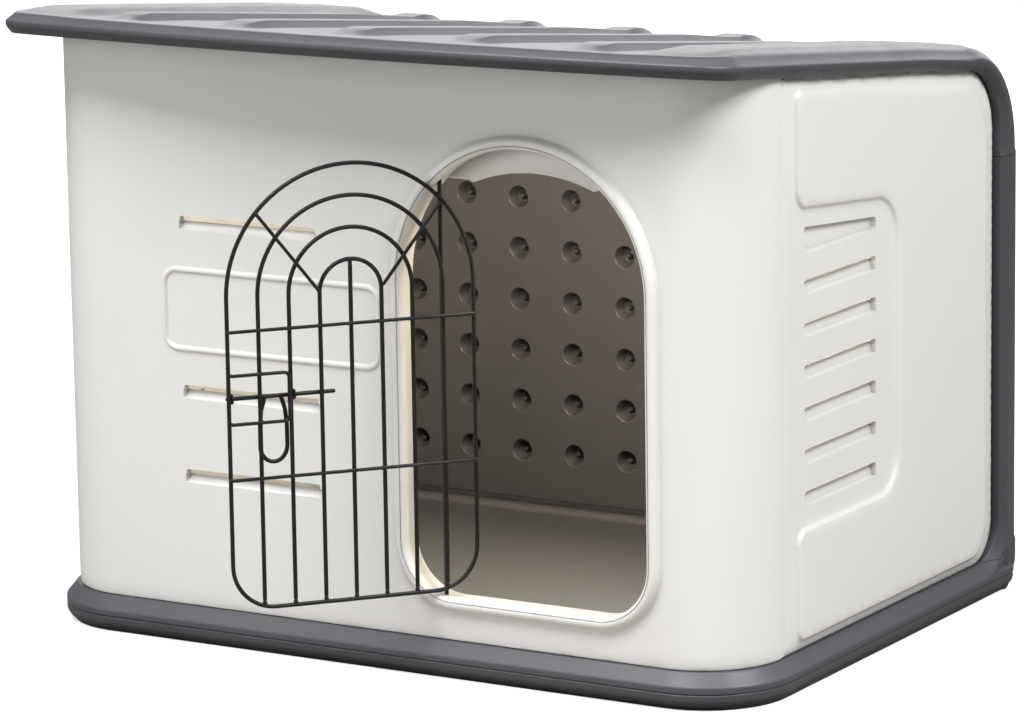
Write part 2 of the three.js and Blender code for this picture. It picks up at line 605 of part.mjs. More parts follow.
const outerPts = archPoints(4, GATE_FOOT + 46, GATE_FOOT + 46, 24);
for (let i = 1; i <= 5; i += 1) {
  const t = (Math.PI / 2) * (i / 5);
  outerPts.push(gatePoint(MID_U - 4 * PITCH + 46 - 46 * Math.cos(t), FRAME_V, GATE_FOOT + 46 - 46 * Math.sin(t)));
}
for (let i = 0; i < 5; i += 1) {
  const t = (Math.PI / 2) * (i / 5);
  outerPts.push(gatePoint(MID_U + 4 * PITCH - 46 + 46 * Math.sin(t), FRAME_V, GATE_FOOT + 46 - 46 * Math.cos(t)));
}
add(gate, 'gate_outer_frame', toGeometry(wireSolid(outerPts, WIRE_R, 8, true)), black());
const cornerLift = 46 - Math.sqrt(46 * 46 - 13.2 * 13.2);
add(gate, 'gate_second_arch', toGeometry(wireSolid(archPoints(3, legFoot + cornerLift, legFoot + cornerLift, 20))), black());
add(gate, 'gate_third_arch', toGeometry(wireSolid(archPoints(2, legFoot, legFoot, 16))), black());
add(gate, 'gate_inner_arch', toGeometry(wireSolid(archPoints(1, legFoot, legFoot, 12))), black());
add(gate, 'gate_centre_bar', toGeometry(straight(MID_U, legFoot, MID_U, ARCH_Z + PITCH - 4.4, FRAME_V)), black());
add(gate, 'upper_cross_bar', toGeometry(straight(-PITCH, BAR_HIGH, 7 * PITCH, BAR_HIGH, BAR_V)), black());
add(gate, 'lower_cross_bar', toGeometry(straight(-PITCH, BAR_LOW, 7 * PITCH, BAR_LOW, BAR_V)), black());
add(gate, 'free_side_strut', toGeometry(straight(201, 508, 133, 420, BAR_V)), black());
add(gate, 'hinge_side_strut', toGeometry(straight(2, 505.5, 66, 422.8, BAR_V)), black());

// Square wire guard around the latch.
const guard = [
  gatePoint(231, BAR_V, BOLT_Z + 25.4), gatePoint(175, BAR_V, BOLT_Z + 25.4), gatePoint(171, BAR_V, BOLT_Z + 24.2),
  gatePoint(169, BAR_V, BOLT_Z + 20), gatePoint(169, BAR_V, BOLT_Z - 20), gatePoint(171, BAR_V, BOLT_Z - 24.2),
  gatePoint(175, BAR_V, BOLT_Z - 25.4), gatePoint(231, BAR_V, BOLT_Z - 25.4),
];
add(latch, 'latch_guard', toGeometry(wireSolid(guard)), black());

// Two wire eyes beside the uprights carry the bolt.
function eye(u) {
  const pts = [];
  for (let i = 0; i < 14; i += 1) {
    const t = (2 * Math.PI * i) / 14;
    pts.push(gatePoint(u, 4.3 * Math.cos(t), BOLT_Z + 4.3 * Math.sin(t)));
  }
  const ringPos = pts.map((p, i) => {
    const t = (2 * Math.PI * i) / 14;
    const out = [];
    for (let k = 0; k < 8; k += 1) {
      const a = (2 * Math.PI * k) / 8;
      const rad = 4.3 + 1.5 * Math.cos(a);
      out.push(gatePoint(u + 1.5 * Math.sin(a), rad * Math.cos(t), BOLT_Z + rad * Math.sin(t)));
    }
    return out;
  });
  const pos = [];
  const idx = [];
  ringPos.forEach((ring) => ring.forEach((q) => pos.push(q.x, q.y, q.z)));
  for (let i = 0; i < 14; i += 1) {
    const j = (i + 1) % 14;
    for (let k = 0; k < 8; k += 1) {
      const l = (k + 1) % 8;
      idx.push(i * 8 + k, j * 8 + l, i * 8 + l, i * 8 + k, j * 8 + k, j * 8 + l);
    }
  }
  const g = new THREE.BufferGeometry();
  g.setAttribute('position', new THREE.Float32BufferAttribute(pos, 3));
  g.setIndex(idx);
  const m = solid(g);
  return m.volume() < 0 ? solid(flipped(g)) : m;
}
add(latch, 'latch_eye_free_side', toGeometry(eye(7 * PITCH - 4.2)), black());
add(latch, 'latch_eye_inner', toGeometry(eye(5 * PITCH - 4.2)), black());
add(latch, 'latch_bolt', toGeometry(straight(116.6, BOLT_Z, 234.5, BOLT_Z, 0, WIRE_R, 14)), black());
const handlePts = [gatePoint(175, 0, BOLT_Z - 2.4)];
handlePts.push(gatePoint(170.5, 0, BOLT_Z - 22));
for (let i = 0; i <= 8; i += 1) {
  const t = Math.PI * (i / 8);
  handlePts.push(gatePoint(184 - 14.5 * Math.cos(t), 0, BOLT_Z - 52 - 17 * Math.sin(t)));
}
handlePts.push(gatePoint(197.5, 0, BOLT_Z - 22), gatePoint(193, 0, BOLT_Z - 2.4));
add(latch, 'latch_handle', toGeometry(wireSolid(handlePts)), black());

export default group;
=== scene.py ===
import math
import bpy
import bmesh
import numpy as np
from mathutils import Matrix, Vector
from mathutils.geometry import delaunay_2d_cdt


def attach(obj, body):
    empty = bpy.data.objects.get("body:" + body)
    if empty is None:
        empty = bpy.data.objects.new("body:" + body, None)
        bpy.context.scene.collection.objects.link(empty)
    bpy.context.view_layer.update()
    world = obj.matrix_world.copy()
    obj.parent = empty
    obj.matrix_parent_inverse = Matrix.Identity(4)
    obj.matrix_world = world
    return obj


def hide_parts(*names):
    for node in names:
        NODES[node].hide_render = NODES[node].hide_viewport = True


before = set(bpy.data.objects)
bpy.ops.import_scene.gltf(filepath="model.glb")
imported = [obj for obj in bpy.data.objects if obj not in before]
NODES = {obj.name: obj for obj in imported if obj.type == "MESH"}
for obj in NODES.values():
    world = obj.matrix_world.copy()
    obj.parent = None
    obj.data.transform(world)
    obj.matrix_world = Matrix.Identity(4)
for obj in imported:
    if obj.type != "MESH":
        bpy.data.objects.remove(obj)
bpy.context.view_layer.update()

# ---------------------------------------------------------------- sizes (mm, the CAD's own)
MM = 0.001
FRONT_Y = -229.0
HALF_W = 431.0
SIDE = 443.0
TRAY_H = 40.0
FLOOR_Z = 30.0
CORNER_R = 90.0
RETURN_END = FRONT_Y + 94.8
REAR_Y = 407.0
INNER_REAR_Y = 363.0
ROOF_Z0 = 651.8
ROOF_SLOPE = 0.1077
ROOF_OVERHANG = 102.0
ROOF_BOW = 50.0
ROOF_T = 22.0
SPLIT_Z = 490.0
WALL_T = 8.0
DOOR_X, DOOR_R, DOOR_ZC = 180.6, 144.5, 421.0
SILL_Z, SILL_R = 86.0, 58.0
JAMB = 22.0
HINGE_X, HINGE_Y = 80.5, FRONT_Y + 4
GATE_OPEN = math.radians(130.14)
PITCH = 33.15
ARCH_Z = DOOR_ZC - 2
WIRE_R = 2.25
BAR_R = 1.85
LAYER = 4.3
GATE_FOOT = 93.6
BAR_HIGH, BAR_LOW, BOLT_Z = 385.7, 230.9, 314.8
STRIKE_R = 3.2


# ---------------------------------------------------------------- small maths
def ss(a, b, t):
    t = np.clip((np.asarray(t, float) - a) / (b - a), 0, 1)
    return t * t * (3 - 2 * t)


def roof_under(y):
    return ROOF_Z0 - ROOF_SLOPE * (np.asarray(y, float) - FRONT_Y)


def sd_box(x, y, cx, cy, hx, hy, r):
    qx = np.abs(x - cx) - (hx - r)
    qy = np.abs(y - cy) - (hy - r)
    return np.hypot(np.maximum(qx, 0), np.maximum(qy, 0)) + np.minimum(np.maximum(qx, qy), 0) - r


def loop_door(grow, n_arch=72, n_corner=14, n_side=26):
    r = DOOR_R + grow
    c = SILL_R + grow
    z0 = SILL_Z - grow
    pts = []
    for k in range(n_corner + 1):
        a = math.pi + (math.pi / 2) * k / n_corner
        pts.append((DOOR_X - r + c + c * math.cos(a), z0 + c + c * math.sin(a)))
    for k in range(1, 14):
        pts.append((DOOR_X - r + c + (2 * r - 2 * c) * k / 14, z0))
    for k in range(n_corner + 1):
        a = -math.pi / 2 + (math.pi / 2) * k / n_corner
        pts.append((DOOR_X + r - c + c * math.cos(a), z0 + c + c * math.sin(a)))
    for k in range(1, n_side):
        pts.append((DOOR_X + r, z0 + c + (DOOR_ZC - z0 - c) * k / n_side))
    for k in range(n_arch + 1):
        a = math.pi * k / n_arch
        pts.append((DOOR_X + r * math.cos(a), DOOR_ZC + r * math.sin(a)))
    for k in range(1, n_side):
        pts.append((DOOR_X - r, DOOR_ZC - (DOOR_ZC - z0 - c) * k / n_side))
    return np.array(pts)


def round_poly(corners, step=6.0, arc=3.0):
    """Counter-clockwise loop from (x, y, radius) corners, sampled every step along the straights."""
    n = len(corners)
    key = []
    for i, (x, y, r) in enumerate(corners):
        p = np.array((x, y), float)
        a = np.array(corners[i - 1][:2], float) - p
        b = np.array(corners[(i + 1) % n][:2], float) - p
        a /= np.linalg.norm(a)
        b /= np.linalg.norm(b)
        if r <= 0:
            key.append([p])
            continue
        half = math.acos(np.clip(a @ b, -1, 1)) / 2
        m = a + b
        c = p + m / np.linalg.norm(m) * r / math.sin(half)
        s = p + a * r / math.tan(half) - c
        sweep = math.pi - 2 * half
        k = max(2, int(r * sweep / arc))
        turned = [(s[0] * math.cos(t) - s[1] * math.sin(t), s[0] * math.sin(t) + s[1] * math.cos(t))
                  for t in np.linspace(0, sweep, k + 1)]
        key.append([c + np.array(q) for q in turned])
    out = []
    for i in range(n):
        out += key[i]
        p, q = key[i][-1], key[(i + 1) % n][0]
        m = int(np.linalg.norm(q - p) / step)
        out += [p + (q - p) * j / (m + 1) for j in range(1, m + 1)]
    return np.array(out)


def inside(pts, loop):
    x, y = pts[:, 0], pts[:, 1]
    hit = np.zeros(len(pts), bool)
    a = loop
    b = np.roll(loop, -1, 0)
    for (x0, y0), (x1, y1) in zip(a, b):
        if y0 == y1:
            continue
        cross = ((y0 > y) != (y1 > y)) & (x < (x1 - x0) * (y - y0) / (y1 - y0) + x0)
        hit ^= cross
    return hit


def near(pts, loops, limit):
    """True where a point lies closer than limit to a sample of the loops."""
    keep = np.zeros(len(pts), bool)
    cloud = np.vstack(loops)
    for s in range(0, len(pts), 4000):
        d = ((pts[s:s + 4000, None, :] - cloud[None]) ** 2).sum(2).min(1)
        keep[s:s + 4000] = d < limit * limit
    return keep


# ---------------------------------------------------------------- mesh building
def new_object(name, verts, faces, material, smooth_angle=32.0):
    mesh = bpy.data.meshes.new(name)
    mesh.from_pydata([tuple(v) for v in np.asarray(verts) * MM], [], faces)
    mesh.validate()
    mesh.polygons.foreach_set("use_smooth", [True] * len(mesh.polygons))
    mesh.set_sharp_from_angle(angle=math.radians(smooth_angle))
    mesh.materials.append(material)
    obj = bpy.data.objects.new(name, mesh)
    bpy.context.scene.collection.objects.link(obj)
    return obj


def border(tris):
    """Directed edges that only one triangle uses, in the order they are met."""
    edges = {(int(t[i]), int(t[(i + 1) % 3])): True for t in tris for i in range(3)}
    return [(a, b) for a, b in edges if (b, a) not in edges]


def shell(name, tris, front, back, material, flip=False):
    """Closed piece: front skin, back skin and the border walls between them."""
    n = len(front)
    verts = np.vstack([front, back])
    faces = [tuple(t) for t in tris] + [tuple(n + t[::-1]) for t in tris]
    faces += [(b, a, n + a, n + b) for a, b in border(tris)]
    if flip:
        faces = [tuple(reversed(f)) for f in faces]
    faces = [tuple(int(i) for i in f) for f in faces]
    return new_object(name, verts, faces, material)


def rings_mesh(rings, cap_start=False, cap_end=False, close_loop=False):
    """Skin over closed rings of equal length, with end caps or joined end to start."""
    m = len(rings)
    n = len(rings[0])
    verts = np.vstack(rings)
    faces = []
    span = m if close_loop else m - 1
    for r in range(span):
        q = (r + 1) % m
        for i in range(n):
            j = (i + 1) % n
            faces.append((r * n + i, r * n + j, q * n + j, q * n + i))
    if cap_start:
        faces.append(tuple(range(n - 1, -1, -1)))
    if cap_end:
        faces.append(tuple((m - 1) * n + i for i in range(n)))
    return verts, faces


# ---------------------------------------------------------------- materials
def material(name, colour, rough, build=None, **sockets):
    m = bpy.data.materials.new(name)
    m.use_nodes = True
    nt = m.node_tree
    bsdf = nt.nodes["Principled BSDF"]
    bsdf.inputs["Base Color"].default_value = (*colour, 1)
    bsdf.inputs["Roughness"].default_value = rough
    for k, v in sockets.items():
        bsdf.inputs[k.replace("_", " ")].default_value = v
    if build:
        build(nt, bsdf, colour, rough)
    return m


def node(nt, kind, **values):
    n = nt.nodes.new(kind)
    for k, v in values.items():
        if k in n.inputs:
            n.inputs[k].default_value = v
        else:
            setattr(n, k, v)
    return n


def remap(nt, source, lo, hi, first, last):
    """Straight-line map of a value from lo..hi to first..last, clamped at both ends."""
    n = node(nt, "ShaderNodeMapRange")
    for name, value in (("From Min", lo), ("From Max", hi), ("To Min", first), ("To Max", last)):
        n.inputs[name].default_value = value
    nt.links.new(source, n.inputs["Value"])
    return n.outputs["Result"]


def noise(nt, at, **values):
    n = node(nt, "ShaderNodeTexNoise", **values)
    nt.links.new(at.outputs["Object"], n.inputs["Vector"])
    return n.outputs["Fac"]


def product(nt, a, b):
    n = node(nt, "ShaderNodeMath", operation="MULTIPLY")
    nt.links.new(a, n.inputs[0])
    nt.links.new(b, n.inputs[1])
    return n.outputs[0]


def mixed(nt, factor, base, other):
    """Blend from a colour output to a constant colour."""
    n = node(nt, "ShaderNodeMix", data_type="RGBA")
    n.inputs[7].default_value = (*other, 1)
    nt.links.new(factor, n.inputs[0])
    nt.links.new(base, n.inputs[6])
    return n.outputs[2]


def bump(nt, height, strength, distance, under=None):
    n = node(nt, "ShaderNodeBump", Strength=strength, Distance=distance)
    nt.links.new(height, n.inputs["Height"])
    if under:
        nt.links.new(under, n.inputs["Normal"])
    return n.outputs["Normal"]


def axis(nt, source, name):
    n = node(nt, "ShaderNodeSeparateXYZ")
    nt.links.new(source, n.inputs[0])
    return n.outputs[name]


def moulded(grain, grain_mm, mottle, dust, crevice_shade, painted_light=False):
    """Moulded plastic: fine grain bump, soft tone drift, faint dust and scuffs, painted shade in the
    crevices, and optionally painted light and shade by facing and on the cabin floor.
    """
    def build(nt, bsdf, colour, rough):
        link = nt.links.new
        at = node(nt, "ShaderNodeTexCoord")
        drift = noise(nt, at, Scale=3.2, Detail=3.0, Roughness=0.55)
        tint = node(nt, "ShaderNodeHueSaturation")
        tint.inputs["Color"].default_value = (*colour, 1)
        link(remap(nt, drift, 0.3, 0.7, 1.0 - mottle, 1.0 + mottle), tint.inputs["Value"])
        specks = noise(nt, at, Scale=160.0, Detail=5.0, Roughness=0.7)
        dusty = mixed(nt, remap(nt, specks, 0.6, 0.75, 0.0, dust), tint.outputs["Color"], (0.5, 0.48, 0.45))
        # painted shade: ambient occlusion darkens the colour in crevices, panel gaps and louvre pockets
        crevice_ao = node(nt, "ShaderNodeAmbientOcclusion", samples=6, Distance=0.014)
        shade = remap(nt, crevice_ao.outputs["AO"], 0.35, 0.9, crevice_shade, 1.0)
        # painted light and shade: colour set by which way each face points
        if painted_light:
            shade = painted_facing_light(nt, at, shade)
        # the dust-specked colour with the painted shade laid on it
        dust_and_shade = node(nt, "ShaderNodeHueSaturation")
        link(dusty, dust_and_shade.inputs["Color"])
        link(shade, dust_and_shade.inputs["Value"])
        tone = dust_and_shade.outputs["Color"]
        # painted light: the cabin floor paler towards the doorway
        if painted_light:
            tone = doorway_lit_floor(nt, at, tone)
        link(tone, bsdf.inputs["Base Color"])
        scuff = noise(nt, at, Scale=28.0, Detail=6.0, Roughness=0.65)
        link(remap(nt, scuff, 0.0, 1.0, rough - 0.06, rough + 0.08), bsdf.inputs["Roughness"])
        fine = noise(nt, at, Scale=1000.0 / grain_mm, Detail=2.0, Roughness=0.5)
        wave = noise(nt, at, Scale=9.0, Detail=1.0)
        link(bump(nt, wave, 0.12, 0.004, bump(nt, fine, grain, 0.0004)), bsdf.inputs["Normal"])
    return build


def painted_facing_light(nt, at, shade):
    """Painted light and shade by facing: sloped upper faces lighter, the undersides stay dark, level tops a
    little darker.
    """
    up = axis(nt, at.outputs["Normal"], "Z")
    for limits in ((-0.25, 0.5, 0.7, 1.45), (0.8, 0.97, 1.0, 0.66)):
        shade = product(nt, shade, remap(nt, up, *limits))
    return shade


def doorway_lit_floor(nt, at, base):
    """Painted light and sheen on the cabin floor: paler, bluish grey towards the doorway, only on the level
    floor itself.
    """
    level = remap(nt, axis(nt, at.outputs["Normal"], "Z"), 0.85, 0.97, 0.0, 1.0)
    low = remap(nt, axis(nt, at.outputs["Object"], "Z"), 0.035, 0.031, 0.0, 1.0)
    near_door = remap(nt, axis(nt, at.outputs["Object"], "Y"), 0.3, -0.22, 0.06, 1.0)
    return mixed(nt, product(nt, product(nt, level, low), near_door), base, (0.29, 0.3, 0.33))


def coated(nt, bsdf, colour, rough):
    """Black dip-coated wire: uneven gloss and a slightly paler, lumpy skin."""
    at = node(nt, "ShaderNodeTexCoord")
    runs = noise(nt, at, Scale=420.0, Detail=3.0)
    nt.links.new(remap(nt, runs, 0.0, 1.0, rough - 0.06, rough + 0.12), bsdf.inputs["Roughness"])
    skin = node(nt, "ShaderNodeMix", data_type="RGBA")
    skin.inputs[6].default_value = (*colour, 1)
    skin.inputs[7].default_value = (0.014, 0.014, 0.015, 1)
    nt.links.new(runs, skin.inputs[0])
    nt.links.new(skin.outputs[2], bsdf.inputs["Base Color"])
    nt.links.new(bump(nt, runs, 0.25, 0.0003), bsdf.inputs["Normal"])


def zinc(nt, bsdf, colour, rough):
    """Plated screw: fine uneven gloss."""
    at = node(nt, "ShaderNodeTexCoord")
    cells = noise(nt, at, Scale=900.0, Detail=4.0)
    nt.links.new(remap(nt, cells, 0.0, 1.0, rough - 0.1, rough + 0.15), bsdf.inputs["Roughness"])


# both plastics carry painted crevice shade; the grey one also carries painted light and shade by facing and
# on the cabin floor
WHITE = material("white_plastic", (0.84, 0.83, 0.805), 0.4, moulded(0.10, 1.4, 0.018, 0.03, 0.5))
GREY = material("grey_plastic", (0.07, 0.066, 0.077), 0.42, moulded(0.22, 0.9, 0.06, 0.05, 0.3, True))
WIRE = material("coated_wire", (0.006, 0.006, 0.006), 0.34, coated, Specular_IOR_Level=0.3)
STEEL = material("steel_screw", (0.6, 0.6, 0.6), 0.35, zinc, Metallic=1.0)


def piece(obj, body, slot, *replaced):
    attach(obj, body)
    if replaced:
        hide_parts(*replaced)
    return obj


# ---------------------------------------------------------------- front panel
FLAT = HALF_W - CORNER_R
ARC = CORNER_R * math.pi / 2
S_END = FLAT + ARC + RETURN_END - FRONT_Y - CORNER_R


def front_map(s, z, h):
    a = np.clip((np.abs(s) - FLAT) / CORNER_R, 0, math.pi / 2)
    extra = np.maximum(np.abs(s) - FLAT - ARC, 0)
    r = CORNER_R + h
    x = np.where(np.abs(s) <= FLAT, s, np.sign(s) * (FLAT + r * np.sin(a)))
    y = np.where(np.abs(s) <= FLAT, FRONT_Y - h, FRONT_Y + CORNER_R - r * np.cos(a) + extra)
    return np.stack([x, y, z], 1)


def louvre(u, z, top, u0, u1, gap, drop, deep, shallow):
    """Pocket below a slot: sharp ends and ledge, its floor leaning in towards the slot."""
    side = ss(u0 - 1.3, u0 - 0.1, u) * (1 - ss(u1 + 0.1, u1 + 1.3, u))
    base = top - gap - drop
    low = ss(base - 1.6, base, z) * (z <= top - gap + 0.1)
    lean = np.clip((z - base) / drop, 0, 1)
    return -(shallow + (deep - shallow) * lean) * side * low


def louvre_lines(u0, u1, top, gap, drop):
    base = top - gap - drop
    out = []
    for off in (0.0, 0.75, 1.5):
        out.append(round_poly([(u0 - off, base - off * 1.1, 1.5), (u1 + off, base - off * 1.1, 1.5),
                               (u1 + off, top + off + 0.3, 1.5), (u0 - off, top + off + 0.3, 1.5)], 4.0, 1.0))
    return out


def slot_loop(u0, u1, z0, z1, r=2.2):
    return round_poly([(u0, z0, r), (u1, z0, r), (u1, z1, r), (u0, z1, r)], 4.0, 1.0)


FRONT_TOPS = (465.5, 282.3, 190.0)
SLOT_X0, SLOT_X1 = -242, -71.6
FRONT_GAP, FRONT_DROP = 6.0, 7.0        # open slot, and the pocket below it
SIDE_GAP, SIDE_DROP = 3.6, 10.4
FRONT_SLOTS = [slot_loop(SLOT_X0, SLOT_X1, t - FRONT_GAP, t) for t in FRONT_TOPS]
FIELD_X0, FIELD_X1, FIELD_Z0, FIELD_Z1, FIELD_R = -264, 6, 321.8, 407.5, 16
BEAD_OUT = 15.5                         # outer edge of the doorway bead


def build_front():
    s_line = np.linspace(-S_END, S_END, 150)
    probe = front_map(s_line, np.zeros_like(s_line), np.zeros_like(s_line))
    top = roof_under(probe[:, 1]) - 0.8
    low = np.stack([s_line, np.full_like(s_line, TRAY_H + 0.3)], 1)
    right = np.array([(S_END, z) for z in np.arange(TRAY_H + 8, top[-1] - 4, 7.0)])
    left = np.array([(-S_END, z) for z in np.arange(top[0] - 7, TRAY_H + 6, -7.0)])
    outer = np.vstack([low, right, np.stack([s_line, top], 1)[::-1], left])
    door = loop_door(BEAD_OUT)
    holes = FRONT_SLOTS + [door]
    features = []
    for off in (1.0, 2.2):
        features.append(np.array([(S_END - off, z) for z in np.arange(TRAY_H + 3, 655, 7.0)]))
        features.append(np.array([(-S_END + off, z) for z in np.arange(TRAY_H + 3, 655, 7.0)]))
    for t in FRONT_TOPS:
        features += louvre_lines(SLOT_X0, SLOT_X1, t, FRONT_GAP, FRONT_DROP)
    for off in (-3.8, -2.5, -1.0, 1.0, 2.5, 3.8):
        x0, x1, z0, z1, r = FIELD_X0 - off, FIELD_X1 + off, FIELD_Z0 - off, FIELD_Z1 + off, FIELD_R + off
        features.append(round_poly([(x0, z0, r), (x1, z0, r), (x1, z1, r), (x0, z1, r)], 5.0, 2.0))
    for grow in (17.5, 20.0, 23.0):
        features.append(loop_door(grow))
    uv, tris = panel_lines(outer, holes, features, 7.5)
    s, z = uv[:, 0], uv[:, 1]
    h = np.zeros(len(uv))
    field = sd_box(s, z, -129.0, 364.65, 135.0, 42.85, 16)
    h += 2.3 * (1 - ss(0.8, 3.8, np.abs(field)))
    for t in FRONT_TOPS:
        h += louvre(s, z, t, SLOT_X0, SLOT_X1, FRONT_GAP, FRONT_DROP, 7.4, 3.4)
    edge = S_END - np.abs(s)
    h -= 2.6 * (1 - ss(0, 1.8, edge))
    h -= 1.0 * (1 - ss(0, 2.0, z - TRAY_H))
    front = front_map(s, z, h)
    depth = np.full(len(uv), -WALL_T)
    back = front_map(s, z, depth)
    return shell("front_panel_skin", tris, front, back, WHITE)


def panel_lines(outer, holes, features, spacing):
    """Flat triangle net of a panel: outline, holes, and feature lines that are open rows or closed loops."""
    clean = []
    for f in features:
        if np.linalg.norm(f[0] - f[-1]) > 60:
            clean.append(("open", f))
        else:
            clean.append(("loop", f))
    lines = [np.asarray(outer)] + [np.asarray(h) for h in holes]
    every = lines + [f for _, f in clean]
    lo, hi = lines[0].min(0), lines[0].max(0)
    gx = np.arange(lo[0] + spacing / 2, hi[0], spacing)
    gy = np.arange(lo[1] + spacing / 2, hi[1], spacing * 0.88)
    g = np.array([(x + (spacing / 2 if j % 2 else 0), y) for j, y in enumerate(gy) for x in gx])
    g = g[inside(g, lines[0])]
    g = g[~near(g, every, spacing * 0.6)]
    verts, edges = [], []
    for loop in lines:
        base = len(verts)
        verts += [tuple(p) for p in loop]
        edges += [(base + i, base + (i + 1) % len(loop)) for i in range(len(loop))]
    for kind, f in clean:
        base = len(verts)
        verts += [tuple(p) for p in f]
        edges += [(base + i, base + i + 1) for i in range(len(f) - 1)]
        if kind == "loop":
            edges.append((base + len(f) - 1, base))
    verts += [tuple(p) for p in g]
    co, _, tris, _, _, _ = delaunay_2d_cdt([Vector(v) for v in verts], edges, [], 0, 1e-4)
    co = np.array([tuple(v) for v in co])
    tris = np.array([list(t) for t in tris])
    mid = co[tris].mean(1)
    keep = inside(mid, lines[0])
    for h in lines[1:]:
        keep &= ~inside(mid, h)
    tris = tris[keep]
    a, b, c = co[tris[:, 0]], co[tris[:, 1]], co[tris[:, 2]]
    area = (b[:, 0] - a[:, 0]) * (c[:, 1] - a[:, 1]) - (b[:, 1] - a[:, 1]) * (c[:, 0] - a[:, 0])
    ok = np.abs(area) > 1e-7
    tris, area = tris[ok], area[ok]
    tris[area < 0] = tris[area < 0][:, ::-1]
    used = np.unique(tris)
    renumber = -np.ones(len(co), int)
    renumber[used] = np.arange(len(used))
    return co[used], renumber[tris]


def build_surround():
    """Rounded bead round the doorway with a fine groove, rolling into the jamb."""
    profile = [(BEAD_OUT, 8.0), (BEAD_OUT, 0.0), (14.6, -0.3), (13.6, -1.4), (12.6, -3.6), (11.4, -5.9),
               (9.8, -7.4), (7.9, -8.1), (5.9, -8.2), (4.6, -7.9), (4.1, -6.6), (3.7, -6.6), (3.2, -7.6),
               (2.2, -7.2), (1.2, -6.2), (0.5, -4.9), (0.1, -3.2), (0.0, -1.0), (0.0, 6.0), (0.6, 6.6),
               (0.6, 21.0), (1.4, JAMB), (13.0, JAMB), (13.0, 8.0)]
    rings = []
    for grow, y in profile:
        loop = loop_door(grow)
        rings.append(np.stack([loop[:, 0], np.full(len(loop), FRONT_Y + y), loop[:, 1]], 1))
    verts, faces = rings_mesh(rings, close_loop=True)
    return new_object("door_surround_skin", verts, faces, WHITE, 50)


piece(build_front(), "shell", "white_plastic", "front_panel")


# ---------------------------------------------------------------- side panels
BEND_Y = REAR_Y - 100
BEND_C = (INNER_REAR_Y - 73.6, float(roof_under(BEND_Y)) - 74.5)
BEND_R = 73.2                           # side panel's top rear corner
REAR_R = 45                             # its bottom rear corner
SIDE_TOPS = (426.9, 382.6, 338.3, 294.0, 249.7, 205.4)
SLOT_Y0, SLOT_Y1 = FRONT_Y + 143, FRONT_Y + 302.5


def side_outline():
    y0 = FRONT_Y + 95.2
    y1 = INNER_REAR_Y - 0.4
    z0 = TRAY_H + 0.3
    r = REAR_R
    pts = [(y, z0) for y in np.arange(y0, y1 - r - 1, 7.0)]
    pts += [(y1 - r + r * math.sin(t), z0 + r - r * math.cos(t)) for t in np.linspace(0, math.pi / 2, 18)]
    pts += [(y1, z) for z in np.arange(z0 + 52, BEND_C[1] - 4, 7.0)]
    pts += [(BEND_C[0] + BEND_R * math.sin(t), BEND_C[1] + BEND_R * math.cos(t))
            for t in np.linspace(math.pi / 2, 0, 26)]
    pts += [(y, float(roof_under(y)) - 0.8) for y in np.arange(pts[-1][0] - 8, y0 + 3, -7.0)]
    pts.append((y0, float(roof_under(y0)) - 0.8))
    pts += [(y0, z) for z in np.arange(roof_under(y0) - 8, z0 + 4, -7.0)]
    return np.array(pts)


RELIEF_R = 18.0
RELIEF_HIGH = (FRONT_Y + 122 + RELIEF_R, 502.7 + RELIEF_R)
RELIEF_LOW = (FRONT_Y + 122 + RELIEF_R, 167 - RELIEF_R)
WEDGE = round_poly([(SLOT_Y0, 456, 2.5), (SLOT_Y1, 456, 2.5), (SLOT_Y1, 466.5, 2.5), (SLOT_Y0, 480.5, 2.5)],
                   4.0, 1.0)


def build_side(sign, name):
    outer = side_outline()
    holes = [slot_loop(SLOT_Y0, SLOT_Y1, t - SIDE_GAP, t) for t in SIDE_TOPS]
    features = [offset_loop(WEDGE, d) for d in (1.6, 0.8, 0.0)]
    for t in SIDE_TOPS:
        features += louvre_lines(SLOT_Y0, SLOT_Y1, t, SIDE_GAP, SIDE_DROP)
    relief = relief_loop()
    field = field_loop()
    for loop in (relief, field):
        for off in (-2.6, -1.3, 0.0, 1.3, 2.6):
            features.append(offset_loop(loop, off))
    for (cy, cz), start in ((RELIEF_HIGH, math.pi), (RELIEF_LOW, math.pi / 2)):
        for r in (RELIEF_R - 2.6, RELIEF_R - 1.3, RELIEF_R, RELIEF_R + 1.3, RELIEF_R + 2.6):
            features.append(np.array([(cy + r * math.cos(start + t), cz + r * math.sin(start + t))
                                      for t in np.linspace(0.04, math.pi / 2 - 0.04, 14)]))
    uv, tris = panel_lines(outer, holes, features, 7.5)
    y, z = uv[:, 0], uv[:, 1]
    a, b = RELIEF_R - dist_in(uv, relief), RELIEF_R + dist_in(uv, field)
    inner = np.where((a > 0) & (b > 0), RELIEF_R - np.hypot(a, b), RELIEF_R - np.maximum(a, b))
    h = 4.2 * ss(-2.6, 2.6, inner)
    h -= 5.6 * ss(-1.6, 0.0, dist_in(uv, WEDGE))
    for t in SIDE_TOPS:
        h += louvre(y, z, t, SLOT_Y0, SLOT_Y1, SIDE_GAP, SIDE_DROP, 6.6, 5.2)
    edge = dist_in(uv, outer)
    h -= 2.6 * (1 - ss(0, 1.8, edge))
    front = np.stack([sign * (HALF_W + h), y, z], 1)
    back = np.stack([np.full(len(uv), sign * (HALF_W - WALL_T)), y, z], 1)
    return shell(name, tris, front, back, WHITE, flip=sign < 0)


def relief_loop():
    y0, y1, z0 = FRONT_Y + 122, FRONT_Y + 570, 50.4
    top0, top1 = (float(roof_under(y)) - 0.6 - d for y, d in ((y0, 12), (y1, 20)))
    return round_poly([(y0, z0, 12), (y1, z0, 40), (y1, top1, 72), (y0, top0, 12)], 6.0, 2.5)


